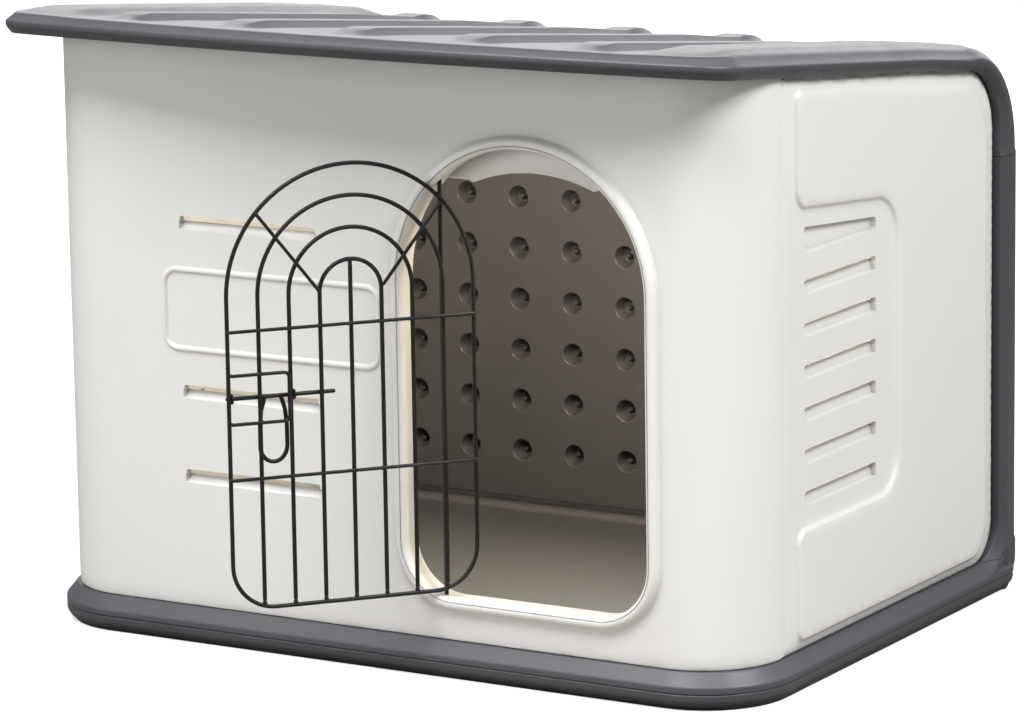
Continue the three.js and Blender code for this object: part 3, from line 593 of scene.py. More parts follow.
def field_loop():
    return round_poly([(FRONT_Y + 104, 167, 0), (FRONT_Y + 351, 167, 42), (FRONT_Y + 351, 483, 50),
                       (FRONT_Y + 104, 506, 0)], 6.0, 2.5)


def offset_loop(loop, d):
    a = np.roll(loop, 1, 0)
    b = np.roll(loop, -1, 0)
    t = b - a
    t /= np.linalg.norm(t, axis=1)[:, None]
    return loop + np.stack([t[:, 1], -t[:, 0]], 1) * d


def dist_in(pts, loop):
    """Distance to a loop, positive inside."""
    best = np.full(len(pts), 1e9)
    a = loop
    b = np.roll(loop, -1, 0)
    for p, q in zip(a, b):
        d = q - p
        l2 = d @ d
        if l2 == 0:
            continue
        t = np.clip(((pts - p) @ d) / l2, 0, 1)
        best = np.minimum(best, np.hypot(*(pts - p - t[:, None] * d).T))
    return np.where(inside(pts, loop), best, -best)


piece(build_side(1, "right_side_skin"), "shell", "white_plastic", "right_side_panel")
piece(build_side(-1, "left_side_skin"), "shell", "white_plastic", "left_side_panel")

# ---------------------------------------------------------------- roof
turn = math.atan2(2 * ROOF_BOW * (SIDE - 40), HALF_W * HALF_W)
corner_x = SIDE - 50 * (1 - math.sin(turn))
ARC_IN = 74.0
V_FLAT = BEND_C[0]
SKIRT = BEND_C[1] - SPLIT_Z


def bow(x):
    return FRONT_Y - ROOF_OVERHANG + ROOF_BOW * (np.asarray(x, float) / HALF_W) ** 2


def roof_map(x, v, n):
    """v runs front to rear (= y up to the bend), then round the bend and down the skirt; n is outward."""
    arc = np.clip((v - V_FLAT) / ARC_IN, 0, math.pi / 2)
    down = np.maximum(v - V_FLAT - ARC_IN * math.pi / 2, 0)
    on_flat = v <= V_FLAT
    z_flat = roof_under(v)
    y = np.where(on_flat, v, BEND_C[0] + (ARC_IN + n) * np.sin(arc))
    z = np.where(on_flat, z_flat + n, BEND_C[1] + (ARC_IN + n) * np.cos(arc) - down)
    ease = ss(V_FLAT - 120, V_FLAT, v)
    z = np.where(on_flat, z - ease * (float(roof_under(V_FLAT)) - BEND_C[1] - ARC_IN), z)
    return np.stack([x, y, z], 1)


V_END = V_FLAT + ARC_IN * math.pi / 2 + SKIRT


def roof_loop():
    pts = [(x, float(bow(x))) for x in np.linspace(-corner_x, corner_x, 110)]
    right = []
    for t in np.linspace(turn, math.pi / 2, 18)[1:]:
        right.append((corner_x + 50 * (math.sin(t) - math.sin(turn)),
                      float(bow(corner_x)) + 50 * (math.cos(turn) - math.cos(t))))
    pts += right
    x_edge, v0 = right[-1]
    pts += [(x_edge, v) for v in np.linspace(v0, V_END, 110)[1:]]
    pts += [(x, V_END) for x in np.linspace(x_edge, -x_edge, 110)[1:]]
    pts += [(-x_edge, v) for v in np.linspace(V_END, v0, 110)[1:]]
    pts += [(-x, v) for x, v in right[::-1][1:]]
    return np.array(pts)


def rim_inset(loop, d):
    moved = offset_loop(loop, -d)
    moved[:, 1] = np.where(loop[:, 1] > V_END - 1e-3, V_END, moved[:, 1])
    return moved


OUT_Y, OUT_Z, OUT_A, OUT_B = 295.0, 494.0, 112.0, 120.0   # ellipse of the outer rear bend
RIBS, RIB_PITCH = range(-2, 3), 140.0


def bend_thickness(phi):
    """Gap between the inner arc and the outer ellipse along a ray from the inner centre."""
    s, c = np.sin(phi), np.cos(phi)
    dy, dz = BEND_C[0] - OUT_Y, BEND_C[1] - OUT_Z
    a = (s / OUT_A) ** 2 + (c / OUT_B) ** 2
    b = 2 * (dy * s / OUT_A ** 2 + dz * c / OUT_B ** 2)
    k = (dy / OUT_A) ** 2 + (dz / OUT_B) ** 2 - 1
    return (-b + np.sqrt(b * b - 4 * a * k)) / (2 * a) - ARC_IN


def thickness(v):
    v = np.asarray(v, float)
    phi = np.clip((v - V_FLAT) / ARC_IN, 0, math.pi / 2)
    down = np.maximum(v - V_FLAT - ARC_IN * math.pi / 2, 0)
    rise = np.clip((BEND_C[1] - down - OUT_Z) / OUT_B, 0, 1)
    skirt = OUT_Y + OUT_A * np.sqrt(1 - rise ** 2) - (BEND_C[0] + ARC_IN)
    flat = ROOF_T - (ROOF_T - bend_thickness(0.0)) * ss(FRONT_Y, V_FLAT, v)
    return np.where(v < V_FLAT, flat, np.where(down > 0, skirt, bend_thickness(phi)))


# rim section (inset, height) from top to bottom: on the flat roof, then on the rear skirt
RIM_FLAT = [(16, 21.9), (12, 21.5), (9.6, 20.8), (8.2, 19.9), (1.8, 15.0), (0.9, 14.2), (0.3, 13.3),
            (0, 12.4), (0, 8.4), (0.15, 7.7), (0.6, 6.9), (1.4, 5.6), (5.2, 0.7), (6.0, 0.1), (8, 0)]
RIM_SKIRT = [(17, 41.8), (14, 41.3), (11, 40.2), (8.3, 38.6), (5.2, 35.6), (3, 32.2), (1.2, 28.0),
             (0.2, 24.0), (0, 13.0), (0.3, 11.6), (0.9, 10.4), (1.6, 9.0), (4.8, 0.9), (5.6, 0.1), (8, 0)]


def build_roof():
    loop = roof_loop()
    inner = rim_inset(loop, 20.0)
    features = [rim_inset(loop, d) for d in (26.0, 33.0)]
    for k in RIBS:
        for dx in (-22, -18.5, -15, 15, 18.5, 22):
            v = np.arange(FRONT_Y - 66, V_FLAT + 70, 9.0)
            features.append(np.stack([np.full(len(v), RIB_PITCH * k + dx), v], 1))
    for sx in (-1, 1):
        for x in (326, 334, 342, 350, 358):
            v = np.arange(FRONT_Y - 40, V_END - 12, 9.0)
            features.append(np.stack([np.full(len(v), float(sx * x)), v], 1))
    uv, tris = panel_lines(inner, [], features, 9.0)
    x, v = uv[:, 0], uv[:, 1]

    def top_height(x, v):
        n = np.zeros(len(x))
        for k in RIBS:
            across = 1 - ss(14, 22, np.abs(x - RIB_PITCH * k))
            along = ss(FRONT_Y - 64, FRONT_Y - 4, v) * (1 - ss(V_FLAT + 20, V_FLAT + 78, v))
            n += 7.5 * across * along
        fade = 1 - ss(V_FLAT, V_FLAT + 70, v)
        n -= 6.5 * np.clip((v - FRONT_Y) / (V_FLAT - FRONT_Y), 0, 1) * (1 - ss(318, 334, np.abs(x))) * fade
        side = ss(334, 358, np.abs(x))
        n += 8.0 * side * ss(FRONT_Y - 70, FRONT_Y + 30, v) * (1 - ss(V_FLAT - 30, V_FLAT + 90, v))
        return n
    border_d = np.abs(dist_in(uv, loop))
    n = thickness(v) + top_height(x, v) * ss(8, 30, border_d)
    verts = [roof_map(x, v, n)]
    faces = [tuple(int(i) for i in t) for t in tris]
    edge_pts = np.array([np.argmin(((uv - p) ** 2).sum(1)) for p in inner])
    h_edge = top_height(inner[:, 0], inner[:, 1]) * ss(8, 30, np.abs(dist_in(inner, loop)))
    rows = [edge_pts]
    for (d0, h0), (d1, h1) in zip(RIM_FLAT, RIM_SKIRT):
        w = ss(V_FLAT - 30, V_FLAT + 100, loop[:, 1])
        ring = rim_inset(loop, (d0 + (d1 - d0) * w)[:, None])
        t = thickness(ring[:, 1])
        low = (1 - w) * h0 * t / ROOF_T + w * h1 * t / 42.0
        keep = max(0.0, (h0 - 19.0) / 3.0) ** 1.5
        base = sum(len(a) for a in verts)
        verts.append(roof_map(ring[:, 0], ring[:, 1], low + h_edge * keep))
        rows.append(np.arange(base, base + len(ring)))
    m = len(inner)
    for a, b in zip(rows[:-1], rows[1:]):
        for i in range(m):
            j = (i + 1) % m
            faces.append((int(a[j]), int(a[i]), int(b[i]), int(b[j])))
    uv2, tris2 = panel_lines(rim_inset(loop, 8.0), [], [], 16.0)
    base = sum(len(a) for a in verts)
    verts.append(roof_map(uv2[:, 0], uv2[:, 1], np.zeros(len(uv2))))
    faces += [tuple(int(base + i) for i in t[::-1]) for t in tris2]
    obj = new_object("roof_skin", np.vstack(verts), faces, GREY, 30)
    weld(obj, 0.00002)
    obj.data.set_sharp_from_angle(angle=math.radians(24))
    return obj


def weld(obj, dist):
    bm = bmesh.new()
    bm.from_mesh(obj.data)
    bmesh.ops.remove_doubles(bm, verts=bm.verts, dist=dist)
    bmesh.ops.recalc_face_normals(bm, faces=bm.faces)
    bm.to_mesh(obj.data)
    bm.free()


piece(build_roof(), "shell", "grey_plastic", "roof")


# ---------------------------------------------------------------- floor tray
def tray_loop(inset, z, rear_cut):
    rear = REAR_Y - rear_cut - inset
    w = SIDE + 2 - inset
    r = max(CORNER_R + 10 - inset, 6)
    q = max(24 - inset, 4)
    pts = []
    front = FRONT_Y - 14 + inset
    corners = (((-w + r, front + r), math.pi, r, 22), ((w - r, front + r), -math.pi / 2, r, 22),
               ((w - q, rear - q), 0, q, 10), ((-w + q, rear - q), math.pi / 2, q, 10))
    for c, a0, rr, k in corners:
        for i in range(k + 1):
            a = a0 + (math.pi / 2) * i / k
            pts.append((c[0] + rr * math.cos(a), c[1] + rr * math.sin(a), z))
    return np.array(pts)


def extrude(loop, place, a, b):
    """Prism mesh: the loop placed at a and at b."""
    return rings_mesh([np.array([place(p, w) for p in loop]) for w in (a, b)], cap_start=True, cap_end=True)


def joined(parts):
    verts, faces = np.zeros((0, 3)), []
    for v, f in parts:
        base = len(verts)
        verts = np.vstack([verts, v])
        faces += [tuple(base + i for i in q) for q in f]
    return verts, faces


def carve(obj, operation, mesh_data):
    cutter = new_object("cutter", *mesh_data, GREY)
    weld_normals(cutter)
    mod = obj.modifiers.new("cut", "BOOLEAN")
    mod.operation = operation
    mod.solver = "EXACT"
    mod.object = cutter
    result = bpy.data.meshes.new_from_object(obj.evaluated_get(bpy.context.evaluated_depsgraph_get()))
    obj.modifiers.clear()
    obj.data = result
    bpy.data.objects.remove(cutter)


def finish_smooth(obj, angle, look=GREY):
    weld(obj, 0.00001)
    obj.data.polygons.foreach_set("use_smooth", [True] * len(obj.data.polygons))
    obj.data.set_sharp_from_angle(angle=math.radians(angle))
    obj.data.materials.clear()
    obj.data.materials.append(look)


def weld_normals(obj):
    bm = bmesh.new()
    bm.from_mesh(obj.data)
    bmesh.ops.recalc_face_normals(bm, faces=bm.faces)
    bm.to_mesh(obj.data)
    bm.free()


def in_x(p, w):
    return (w, p[0], p[1])


def in_y(p, w):
    return (p[0], w, p[1])


def in_z(p, w):
    return (p[0], p[1], w)


def drum(centre, place, a, b, r, seg=20):
    """Cylinder from a to b along the axis that place puts last."""
    turns = [2 * math.pi * k / seg for k in range(seg)]
    return extrude([(centre[0] + r * math.cos(t), centre[1] + r * math.sin(t)) for t in turns], place, a, b)


SCREWS = [(-320, FRONT_Y + 4), (-60, FRONT_Y + 4), (330, FRONT_Y + 4)]
SCREWS += [(side * (HALF_W - 4), y) for side in (-1, 1) for y in (-20, 260)]


def heel(top):
    """Side view limit of base and rear panel: the rear bottom corner is drawn in on a tall ellipse."""
    curve = [(REAR_Y - 45 + 45 * math.sin(t), 95 - 96 * math.cos(t)) for t in np.linspace(0, math.pi / 2, 24)]
    return [(FRONT_Y - 40, -1)] + curve + [(REAR_Y, top), (FRONT_Y - 40, top)]


def corner_sweep(sign):
    """Rim section carried round the rear bottom corner of a side panel, up into the rear panel's edge."""
    low = [(0, 432.4), (0.9, 433.4), (2.2, 434.6), (11.6, 442.3), (13.2, 443.9), (15, 444.8), (21, 445)]
    high = [(0, 438.0), (0.9, 438.7), (2.2, 439.2), (9.6, 442.1), (12, 443), (15, 443), (21, 443)]
    cy, cz = INNER_REAR_Y - 45.4, TRAY_H + 45.3
    rings = []
    for t in np.linspace(-0.05, math.pi / 2 + 0.04, 22):
        w = float(ss(0.1, math.pi / 2 - 0.1, t))
        section = [(d0 + (d1 - d0) * w, x0 + (x1 - x0) * w) for (d0, x0), (d1, x1) in zip(low, high)]
        section += [(21, 418), (0, 418)]
        rings.append(np.array([(sign * x, cy + (45.4 + d) * math.sin(t), cz - (45.4 + d) * math.cos(t))
                               for d, x in section]))
    return rings_mesh(rings, cap_start=True, cap_end=True)


def build_tray():
    steps = [(9.5, 0.0), (8.6, 0.2), (6.5, 2.6), (3.2, 6.0), (1.2, 8.6), (0.3, 10.4), (0, 11.6), (0, 17.0),
             (0.5, 17.4), (1.1, 18.1), (0.5, 18.8), (0, 19.2), (0, 24.4), (0.3, 25.6), (1.2, 26.8),
             (2.4, 28.0), (10.6, 38.0), (11.4, 39.0), (12.6, 39.6)]
    verts, faces = rings_mesh([tray_loop(i, z, 0.0) for i, z in steps], cap_start=True, cap_end=True)
    obj = new_object("tray_skin", verts, faces, GREY, 46)
    weld_normals(obj)
    ends = ((-SIDE, REAR_Y - 32), (-SIDE + 5, REAR_Y - 44), (SIDE - 5, REAR_Y - 44), (SIDE, REAR_Y - 32))
    lip = [np.array([(x, f, 2), (x, REAR_Y, 2), (x, REAR_Y, 62), (x, REAR_Y - 26, 44), (x, f, 44)])
           for x, f in ends]
    carve(obj, "UNION", rings_mesh(lip, cap_start=True, cap_end=True))
    carve(obj, "UNION", joined([corner_sweep(1), corner_sweep(-1)]))
    above = [(250, 40.0), (358.2, 40.0), (358.2, 44.0), (381, 44.0), (413, 66.15), (420, 140), (250, 140)]
    carve(obj, "DIFFERENCE", extrude(above, in_x, -600, 600))
    carve(obj, "INTERSECT", extrude(heel(90), in_x, -600, 600))
    wide = SIDE + 3
    plan = round_poly([(-wide, -300, 0), (wide, -300, 0), (wide, REAR_Y, 22), (-wide, REAR_Y, 22)], 400, 2)
    carve(obj, "INTERSECT", extrude(plan, in_z, -2, 90))
    w, y0, y1 = HALF_W - 26, FRONT_Y + 34, INNER_REAR_Y - 6
    rings = []
    for inset, rise in ((9, 0), (6, 0.7), (3.4, 2.4), (1.6, 5), (0.5, 8), (0, 30)):
        z = FLOOR_Z + rise
        x, near_y, far_y = w - inset, y0 + inset, y1 - inset
        loop = round_poly([(-x, near_y, 60), (x, near_y, 60), (x, far_y, 30), (-x, far_y, 30)], 400, 4)
        rings.append(np.column_stack([loop, np.full(len(loop), z)]))
    carve(obj, "DIFFERENCE", rings_mesh(rings, cap_start=True, cap_end=True))
    wells = []
    for x0, x1 in ((-400, -142), (-130, 130), (142, 400)):
        for a, b in ((-200, 62), (74, 340)):
            well = round_poly([(x0, a, 12), (x1, a, 12), (x1, b, 12), (x0, b, 12)], 400, 3)
            wells.append(extrude(well, in_z, -1, 22))
    wells += [drum(q, in_z, -1, 24, 5.5) for q in SCREWS]
    carve(obj, "DIFFERENCE", joined(wells))
    finish_smooth(obj, 28)
    return obj


def dimple(cx, cz):
    section = [(0, 8.5), (2.2, 8.7), (3.2, 10.6), (4.2, 13.0), (5.6, 13.8), (7.6, 13.2), (9.6, 10.0),
               (11.4, 5.0), (12.2, 2.2), (12.9, 0.6), (14.2, -0.4), (14.2, -3), (0, -3)]
    seg = 24
    turns = [2 * math.pi * k / seg for k in range(seg)]
    verts = [(cx, INNER_REAR_Y + section[0][1], cz)]
    for r, d in section[1:-1]:
        verts += [(cx + r * math.cos(t), INNER_REAR_Y + d, cz + r * math.sin(t)) for t in turns]
    verts.append((cx, INNER_REAR_Y - 3, cz))
    faces = [(0, 1 + k, 1 + (k + 1) % seg) for k in range(seg)]
    rows = len(section) - 2
    for r in range(rows - 1):
        a = 1 + r * seg
        faces += [(a + k, a + seg + k, a + seg + (k + 1) % seg, a + (k + 1) % seg) for k in range(seg)]
    a = 1 + (rows - 1) * seg
    faces += [(a + k, len(verts) - 1, a + (k + 1) % seg) for k in range(seg)]
    return np.array(verts), faces


def build_rear():
    chamfer = ((5.0, 0.1), (4.4, 1.0), (0.9, 9.6), (0.3, 10.8), (0, 12))
    half = [(SIDE - inset, INNER_REAR_Y + d) for inset, d in chamfer]
    half += [(SIDE - 18 + 18 * math.cos(t), REAR_Y - 18 + 18 * math.sin(t))
             for t in np.linspace(0, math.pi / 2, 12)]
    loop = half + [(-x, y) for x, y in half[::-1]]
    top = SPLIT_Z - 0.6
    obj = new_object("rear_panel_skin", *extrude(loop, in_z, 40, top), GREY, 30)
    weld_normals(obj)
    carve(obj, "UNION", joined([corner_sweep(1), corner_sweep(-1)]))
    foot = [(250, 10), (REAR_Y + 5, 10), (REAR_Y + 5, 67), (REAR_Y - 26, 44.6), (INNER_REAR_Y - 5, 44.6),
            (INNER_REAR_Y - 5, 40.5), (250, 40.5)]
    cuts = [dimple(-385 + 70 * c, 100.5 + 60 * r) for c in range(12) for r in range(7)]
    for x0, x1 in ((-392, -12), (12, 392)):
        rings = []
        for inset, y in ((9, REAR_Y - 3.0), (8.2, REAR_Y - 2.9), (3, REAR_Y - 0.7), (0, REAR_Y + 1.6)):
            a, b, low, high = x0 + inset, x1 - inset, 92 + inset, 458 - inset
            f = round_poly([(a, low, 30), (b, low, 30), (b, high, 30), (a, high, 30)], 400, 4)
            rings.append(np.column_stack([f[:, 0], np.full(len(f), y), f[:, 1]]))
        cuts.append(rings_mesh(rings, cap_start=True, cap_end=True))
    cuts += [drum((x, z), in_y, REAR_Y - 5, REAR_Y + 5, 6.0) for x in (-425, 425) for z in (120, 280, 430)]
    carve(obj, "DIFFERENCE", extrude(foot, in_x, -600, 600))
    carve(obj, "INTERSECT", extrude(heel(600), in_x, -600, 600))
    carve(obj, "DIFFERENCE", joined(cuts))
    finish_smooth(obj, 19)
    return obj


surround = build_surround()
carve(surround, "DIFFERENCE", drum((HINGE_Y, BOLT_Z), in_x, 322, 339.5, STRIKE_R))
finish_smooth(surround, 50, WHITE)
piece(surround, "shell", "white_plastic", "door_surround")
piece(build_tray(), "shell", "grey_plastic", "base_tray")
piece(build_rear(), "shell", "grey_plastic", "rear_panel")


# ---------------------------------------------------------------- valance
def build_valance():
    r = 188.5
    pts = [(DOOR_X + x, 537 - r + math.sqrt(r * r - x * x)) for x in np.linspace(-70, 70, 50)]
    tip = pts[-1]
    for a in np.linspace(-math.pi / 2 - 0.35, -0.75, 7)[1:]:
        pts.append((tip[0] + 2.0 + 6.0 * math.cos(a), tip[1] + 5.8 + 6.0 * math.sin(a)))
    for x in np.linspace(114, -114, 70):
        pts.append((DOOR_X + x, DOOR_ZC + math.sqrt((DOOR_R + 10) ** 2 - x * x)))
    pts += [(2 * DOOR_X - x, z) for x, z in pts[55:49:-1]]
    loop = np.array(pts)
    uv, tris = panel_lines(loop, [], [offset_loop(loop, -1.2), offset_loop(loop, -2.6)], 5.0)
    h = 2.4 * ss(0, 2.8, dist_in(uv, loop))
    front = np.stack([uv[:, 0], FRONT_Y + JAMB + 2.6 - h, uv[:, 1]], 1)
    back = np.stack([uv[:, 0], np.full(len(uv), FRONT_Y + JAMB + 5), uv[:, 1]], 1)
    return shell("valance_skin", tris, front, back, WHITE)


piece(build_valance(), "shell", "white_plastic", "door_valance")

# ---------------------------------------------------------------- gate
C, S = math.cos(-GATE_OPEN), math.sin(-GATE_OPEN)


def gate(u, v, z):
    return np.array((HINGE_X + u * C - v * S, HINGE_Y + u * S + v * C, z))


FLAT_N = gate(0, 1, 0) - gate(0, 0, 0)


def tube(points, r=WIRE_R, seg=18, closed=False):
    """Round wire along a path, its open ends domed."""
    pts = [np.asarray(p, float) for p in points]
    n = len(pts)
    rings = []
    radii = [r] * n
    if not closed:
        first = pts[0] - pts[1]
        last = pts[-1] - pts[-2]
        first /= np.linalg.norm(first)
        last /= np.linalg.norm(last)
        dome = (1.35, 0.9, 0.45)
        head = [pts[0] - first * r * (1 - math.sin(t)) for t in dome]
        tail = [pts[-1] - last * r * (1 - math.sin(t)) for t in dome[::-1]]
        pts = head + [pts[0] - first * r] + pts[1:-1] + [pts[-1] - last * r] + tail
        radii = [r * math.cos(t) for t in dome] + [r] * n + [r * math.cos(t) for t in dome[::-1]]
        n = len(pts)
    for i, p in enumerate(pts):
        a = pts[i - 1] if (closed or i) else pts[0]
        b = pts[(i + 1) % n] if (closed or i + 1 < n) else pts[-1]
        t = b - a
        t /= np.linalg.norm(t)
        side = FLAT_N if abs(t @ FLAT_N) < 0.9 else np.array((0.0, 0.0, 1.0))
        x = np.cross(t, side)
        x /= np.linalg.norm(x)
        y = np.cross(t, x)
        ang = np.linspace(0, 2 * math.pi, seg, endpoint=False)
        rings.append(p + radii[i] * (np.cos(ang)[:, None] * x + np.sin(ang)[:, None] * y))
    return rings_mesh(rings, cap_start=not closed, cap_end=not closed, close_loop=closed)


def blob(centre, radius, stretch):
    """Small weld bead, drawn out along stretch."""
    verts, faces = [], []
    s = np.asarray(stretch, float)
    for i in range(9):
        a = math.pi * (i + 0.5) / 9
        for j in range(12):
            b = 2 * math.pi * j / 12
            q = np.array((math.sin(a) * math.cos(b), math.sin(a) * math.sin(b), math.cos(a))) * radius
            verts.append(centre + q + s * (q @ s) / max(s @ s, 1e-9) * 0.35)
    for i in range(8):
        for j in range(12):
            k = (j + 1) % 12
            faces.append((i * 12 + j, (i + 1) * 12 + j, (i + 1) * 12 + k, i * 12 + k))
    faces.append(tuple(range(12)))
    faces.append(tuple(8 * 12 + 11 - j for j in range(12)))
    return np.array(verts), faces


def wire(name, tubes, body, replaced, blobs=()):
    obj = new_object(name, *joined(tubes + [blob(*b) for b in blobs]), WIRE, 60)
    weld_normals(obj)
    return piece(obj, body, "coated_wire", replaced)


MID_U = 3 * PITCH
FOOT_R = 46
LEG_FOOT = GATE_FOOT + 2 * WIRE_R + 0.35


def half_ring(r, steps):
    return [gate(MID_U + r * math.cos(t), LAYER, ARCH_Z + r * math.sin(t))
            for t in np.linspace(0, math.pi, steps)]


def arch(k, foot):
    r = k * PITCH
    return [gate(MID_U + r, LAYER, foot)] + half_ring(r, 56) + [gate(MID_U - r, LAYER, foot)]


def frame_loop():
    r = 4 * PITCH
    c = FOOT_R
    pts = half_ring(r, 72)
    quarter = np.linspace(0, math.pi / 2, 16)
    pts += [gate(MID_U - r + c - c * math.cos(t), LAYER, GATE_FOOT + c - c * math.sin(t)) for t in quarter]
    pts += [gate(MID_U + r - c + c * math.sin(t), LAYER, GATE_FOOT + c - c * math.cos(t)) for t in quarter]
    return pts


lift = FOOT_R - math.sqrt(FOOT_R * FOOT_R - 13.2 * 13.2)
legs = [MID_U + k * PITCH for k in (-3, -2, -1, 0, 1, 2, 3)]
UP = (0, 0, 1)
foot_blobs = [(gate(u, LAYER, GATE_FOOT + 3.0 + (lift if abs(u - MID_U) > 90 else 0)), 2.5, UP) for u in legs]
wire("gate_frame_wire", [tube(frame_loop(), closed=True)], "gate", "gate_outer_frame", foot_blobs)
wire("gate_hinge_wire", [tube([gate(0, 0, z) for z in (SILL_Z - 10, 300, 538)])], "gate", "hinge_rod")
wire("gate_second_wire", [tube(arch(3, LEG_FOOT + lift))], "gate", "gate_second_arch")
wire("gate_third_wire", [tube(arch(2, LEG_FOOT))], "gate", "gate_third_arch")
wire("gate_inner_wire", [tube(arch(1, LEG_FOOT))], "gate", "gate_inner_arch")
wire("gate_centre_wire", [tube([gate(MID_U, LAYER, z) for z in (LEG_FOOT, 300, ARCH_Z + PITCH - 4.4)])],
     "gate", "gate_centre_bar", [(gate(MID_U, LAYER, ARCH_Z + PITCH - 3.6), 2.3, UP)])


def cross_wire(name, points, replaced, welds):
    """Bar welded across the gate: points and welds are (u, z) in the gate's own plane."""
    path = [gate(u, 2 * LAYER, z) for u, z in points]
    beads = [(gate(u, LAYER * 1.5, z), 2.1, FLAT_N) for u, z in welds]
    wire(name, [tube(path, BAR_R)], "gate", replaced, beads)


for name, z, replaced in (("gate_upper_bar", BAR_HIGH, "upper_cross_bar"),
                          ("gate_lower_bar", BAR_LOW, "lower_cross_bar")):
    cross_wire(name, [(-PITCH, z), (60, z), (7 * PITCH, z)], replaced,
               [(u, z) for u in legs + [MID_U - 4 * PITCH, MID_U + 4 * PITCH]])
cross_wire("gate_free_strut", [(201, 508), (167, 464), (133, 420)], "free_side_strut",
           [(198.8, 505.2), (134, 421.4)])
cross_wire("gate_hinge_strut", [(2, 505.5), (34, 464.1), (66, 422.8)], "hinge_side_strut",
           [(3.4, 503.7), (65.4, 423.6)])


def rounded_path(corners, r, n=6):
    out = [np.asarray(corners[0], float)]
    for a, p, b in zip(corners[:-2], corners[1:-1], corners[2:]):
        a, p, b = (np.asarray(q, float) for q in (a, p, b))
        d1 = (a - p) / np.linalg.norm(a - p)
        d2 = (b - p) / np.linalg.norm(b - p)
        for t in np.linspace(0, 1, n):
            out.append((1 - t) ** 2 * (p + d1 * r) + 2 * t * (1 - t) * p + t * t * (p + d2 * r))
    out.append(np.asarray(corners[-1], float))
    return out


guard = rounded_path([gate(231, 2 * LAYER, BOLT_Z + 25.4), gate(168.6, 2 * LAYER, BOLT_Z + 25.4),
                      gate(168.6, 2 * LAYER, BOLT_Z - 25.4), gate(231, 2 * LAYER, BOLT_Z - 25.4)], 6.0)
wire("latch_guard_wire", [tube(guard, BAR_R)], "gate", "latch_guard",
     [(gate(u, LAYER * 1.5, BOLT_Z + s * 25.4), 2.1, FLAT_N) for u in (229.7, 197) for s in (-1, 1)])


def ring_wire(u):
    turns = np.linspace(0, 2 * math.pi, 28, endpoint=False)
    pts = [gate(u, 4.3 * math.cos(t), BOLT_Z + 4.3 * math.sin(t)) for t in turns]
    along = gate(1, 0, 0) - gate(0, 0, 0)
    rings = []
    for i, p in enumerate(pts):
        out = p - gate(u, 0, BOLT_Z)
        out /= np.linalg.norm(out)
        ang = np.linspace(0, 2 * math.pi, 12, endpoint=False)
        rings.append(p + 1.5 * (np.cos(ang)[:, None] * out + np.sin(ang)[:, None] * along))
    return rings_mesh(rings, close_loop=True)


wire("latch_eye_free_wire", [ring_wire(7 * PITCH - 4.2)], "gate", "latch_eye_free_side")
wire("latch_eye_inner_wire", [ring_wire(5 * PITCH - 4.2)], "gate", "latch_eye_inner")
wire("latch_bolt_wire", [tube([gate(u, 0, BOLT_Z) for u in (116.6, 180, 234.5)])], "latch_bolt", "latch_bolt",
     [(gate(u, 0, BOLT_Z - 2.0), 2.3, UP) for u in (175, 193)])
handle = [gate(175, 0, BOLT_Z - 2.4), gate(171.4, 0, BOLT_Z - 14), gate(169.7, 0, BOLT_Z - 30)]
handle += [gate(184 - 14.5 * math.cos(t), 0, BOLT_Z - 52 - 17 * math.sin(t))
           for t in np.linspace(0, math.pi, 20)]
handle += [gate(198.3, 0, BOLT_Z - 30), gate(196.6, 0, BOLT_Z - 14), gate(193, 0, BOLT_Z - 2.4)]
wire("latch_handle_wire", [tube(handle)], "latch_bolt", "latch_handle")

for name, obj in NODES.items():
    if "screw" in name:
        obj.data.materials.clear()
        obj.data.materials.append(STEEL)
        obj.data.polygons.foreach_set("use_smooth", [False] * len(obj.data.polygons))

# ---------------------------------------------------------------- stage, light, camera
floor_mesh = bpy.data.meshes.new("stage_floor")
floor_mesh.from_pydata([(-14, -10, 0), (14, -10, 0), (14, 14, 0), (-14, 14, 0)], [], [(0, 1, 2, 3)])
floor = bpy.data.objects.new("stage_floor", floor_mesh)
bpy.context.scene.collection.objects.link(floor)
pale = material("stage_floor", (0.9, 0.9, 0.9), 0.8, Emission_Color=(1, 1, 1, 1), Emission_Strength=0.55)
tree = pale.node_tree
seen = node(tree, "ShaderNodeLightPath")
ground = node(tree, "ShaderNodeBsdfDiffuse", Color=(0.34, 0.33, 0.315, 1))
either = node(tree, "ShaderNodeMixShader")
tree.links.new(seen.outputs["Is Camera Ray"], either.inputs[0])
tree.links.new(ground.outputs[0], either.inputs[1])
tree.links.new(tree.nodes["Principled BSDF"].outputs[0], either.inputs[2])
tree.links.new(either.outputs[0], tree.nodes["Material Output"].inputs["Surface"])
floor_mesh.materials.append(pale)

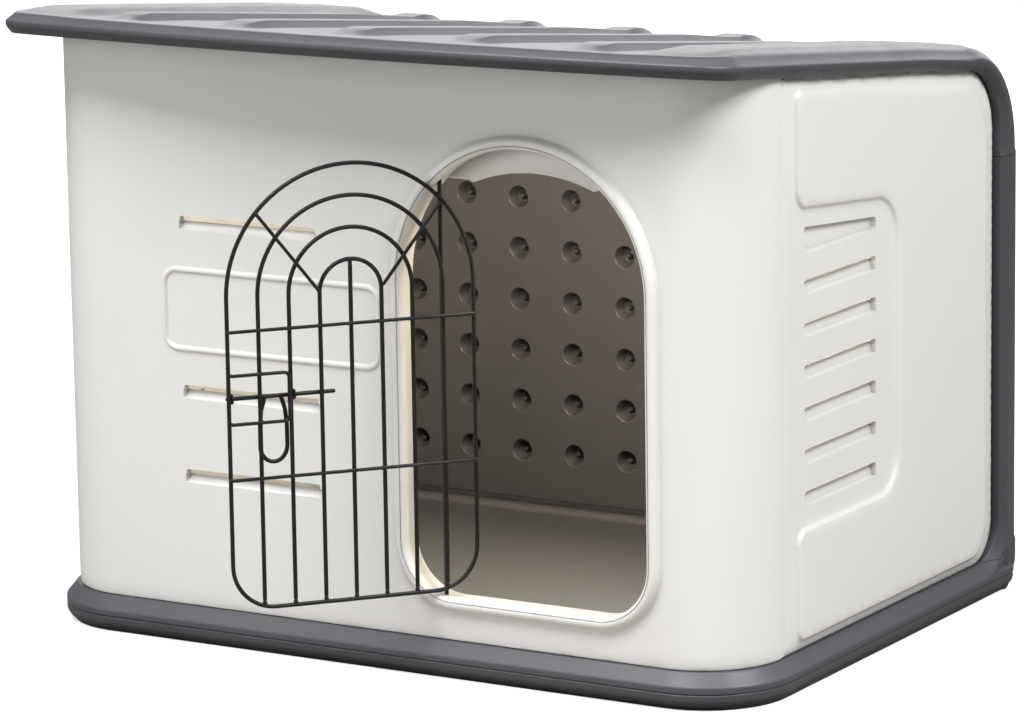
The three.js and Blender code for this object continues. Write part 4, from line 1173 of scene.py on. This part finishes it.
bpy.context.scene.view_settings.view_transform = "Standard"
world = bpy.data.worlds.new("studio")
world.use_nodes = True
world.node_tree.nodes["Background"].inputs["Color"].default_value = (1, 1, 1, 1)
world.node_tree.nodes["Background"].inputs["Strength"].default_value = 0.24
bpy.context.scene.world = world


def area(name, loc, target, size, power, colour=(1, 1, 1)):
    light = bpy.data.lights.new(name, "AREA")
    light.shape = "RECTANGLE"
    light.size, light.size_y = size
    light.energy = power
    light.color = colour
    obj = bpy.data.objects.new(name, light)
    obj.location = loc
    obj.rotation_euler = (Vector(target) - Vector(loc)).to_track_quat("-Z", "Y").to_euler()
    obj.visible_camera = False
    bpy.context.scene.collection.objects.link(obj)


area("top_soft", (-0.3, -1.9, 3.4), (0, -0.1, 0.35), (2.0, 1.6), 114)
area("front_soft", (-2.6, -4.4, 1.5), (0, 0, 0.3), (2.4, 2.0), 50)
area("side_soft", (3.1, -0.5, 3.2), (0.3, 0.1, 0.3), (1.6, 1.6), 138)
area("back_card", (-1.8, 4.6, 1.9), (0, 0, 0.7), (5.0, 2.0), 95)
area("cabin_glow", (0.14, -0.18, 0.605), (0.14, 0.3, 0.4), (0.4, 0.04), 6.2, (1.0, 0.89, 0.66))

cam_data = bpy.data.cameras.new("camera")
cam_data.lens = 177.556
cam_data.sensor_width = 36.0
cam_data.clip_end = 60
cam = bpy.data.objects.new("camera", cam_data)
bpy.context.scene.collection.objects.link(cam)
eye = Vector((2.77438, -4.59125, 1.37084))
yaw, pitch, roll = math.radians(30.8695), math.radians(11.3620), math.radians(-0.8782)
fwd = Vector((-math.sin(yaw) * math.cos(pitch), math.cos(yaw) * math.cos(pitch), -math.sin(pitch)))
right = Vector((math.cos(yaw), math.sin(yaw), 0))
up = right.cross(fwd)
cam_x = right * math.cos(roll) + up * math.sin(roll)
cam_y = -right * math.sin(roll) + up * math.cos(roll)
cam.matrix_world = Matrix((*((cam_x[i], cam_y[i], -fwd[i], eye[i]) for i in range(3)), (0, 0, 0, 1)))
bpy.context.scene.camera = cam
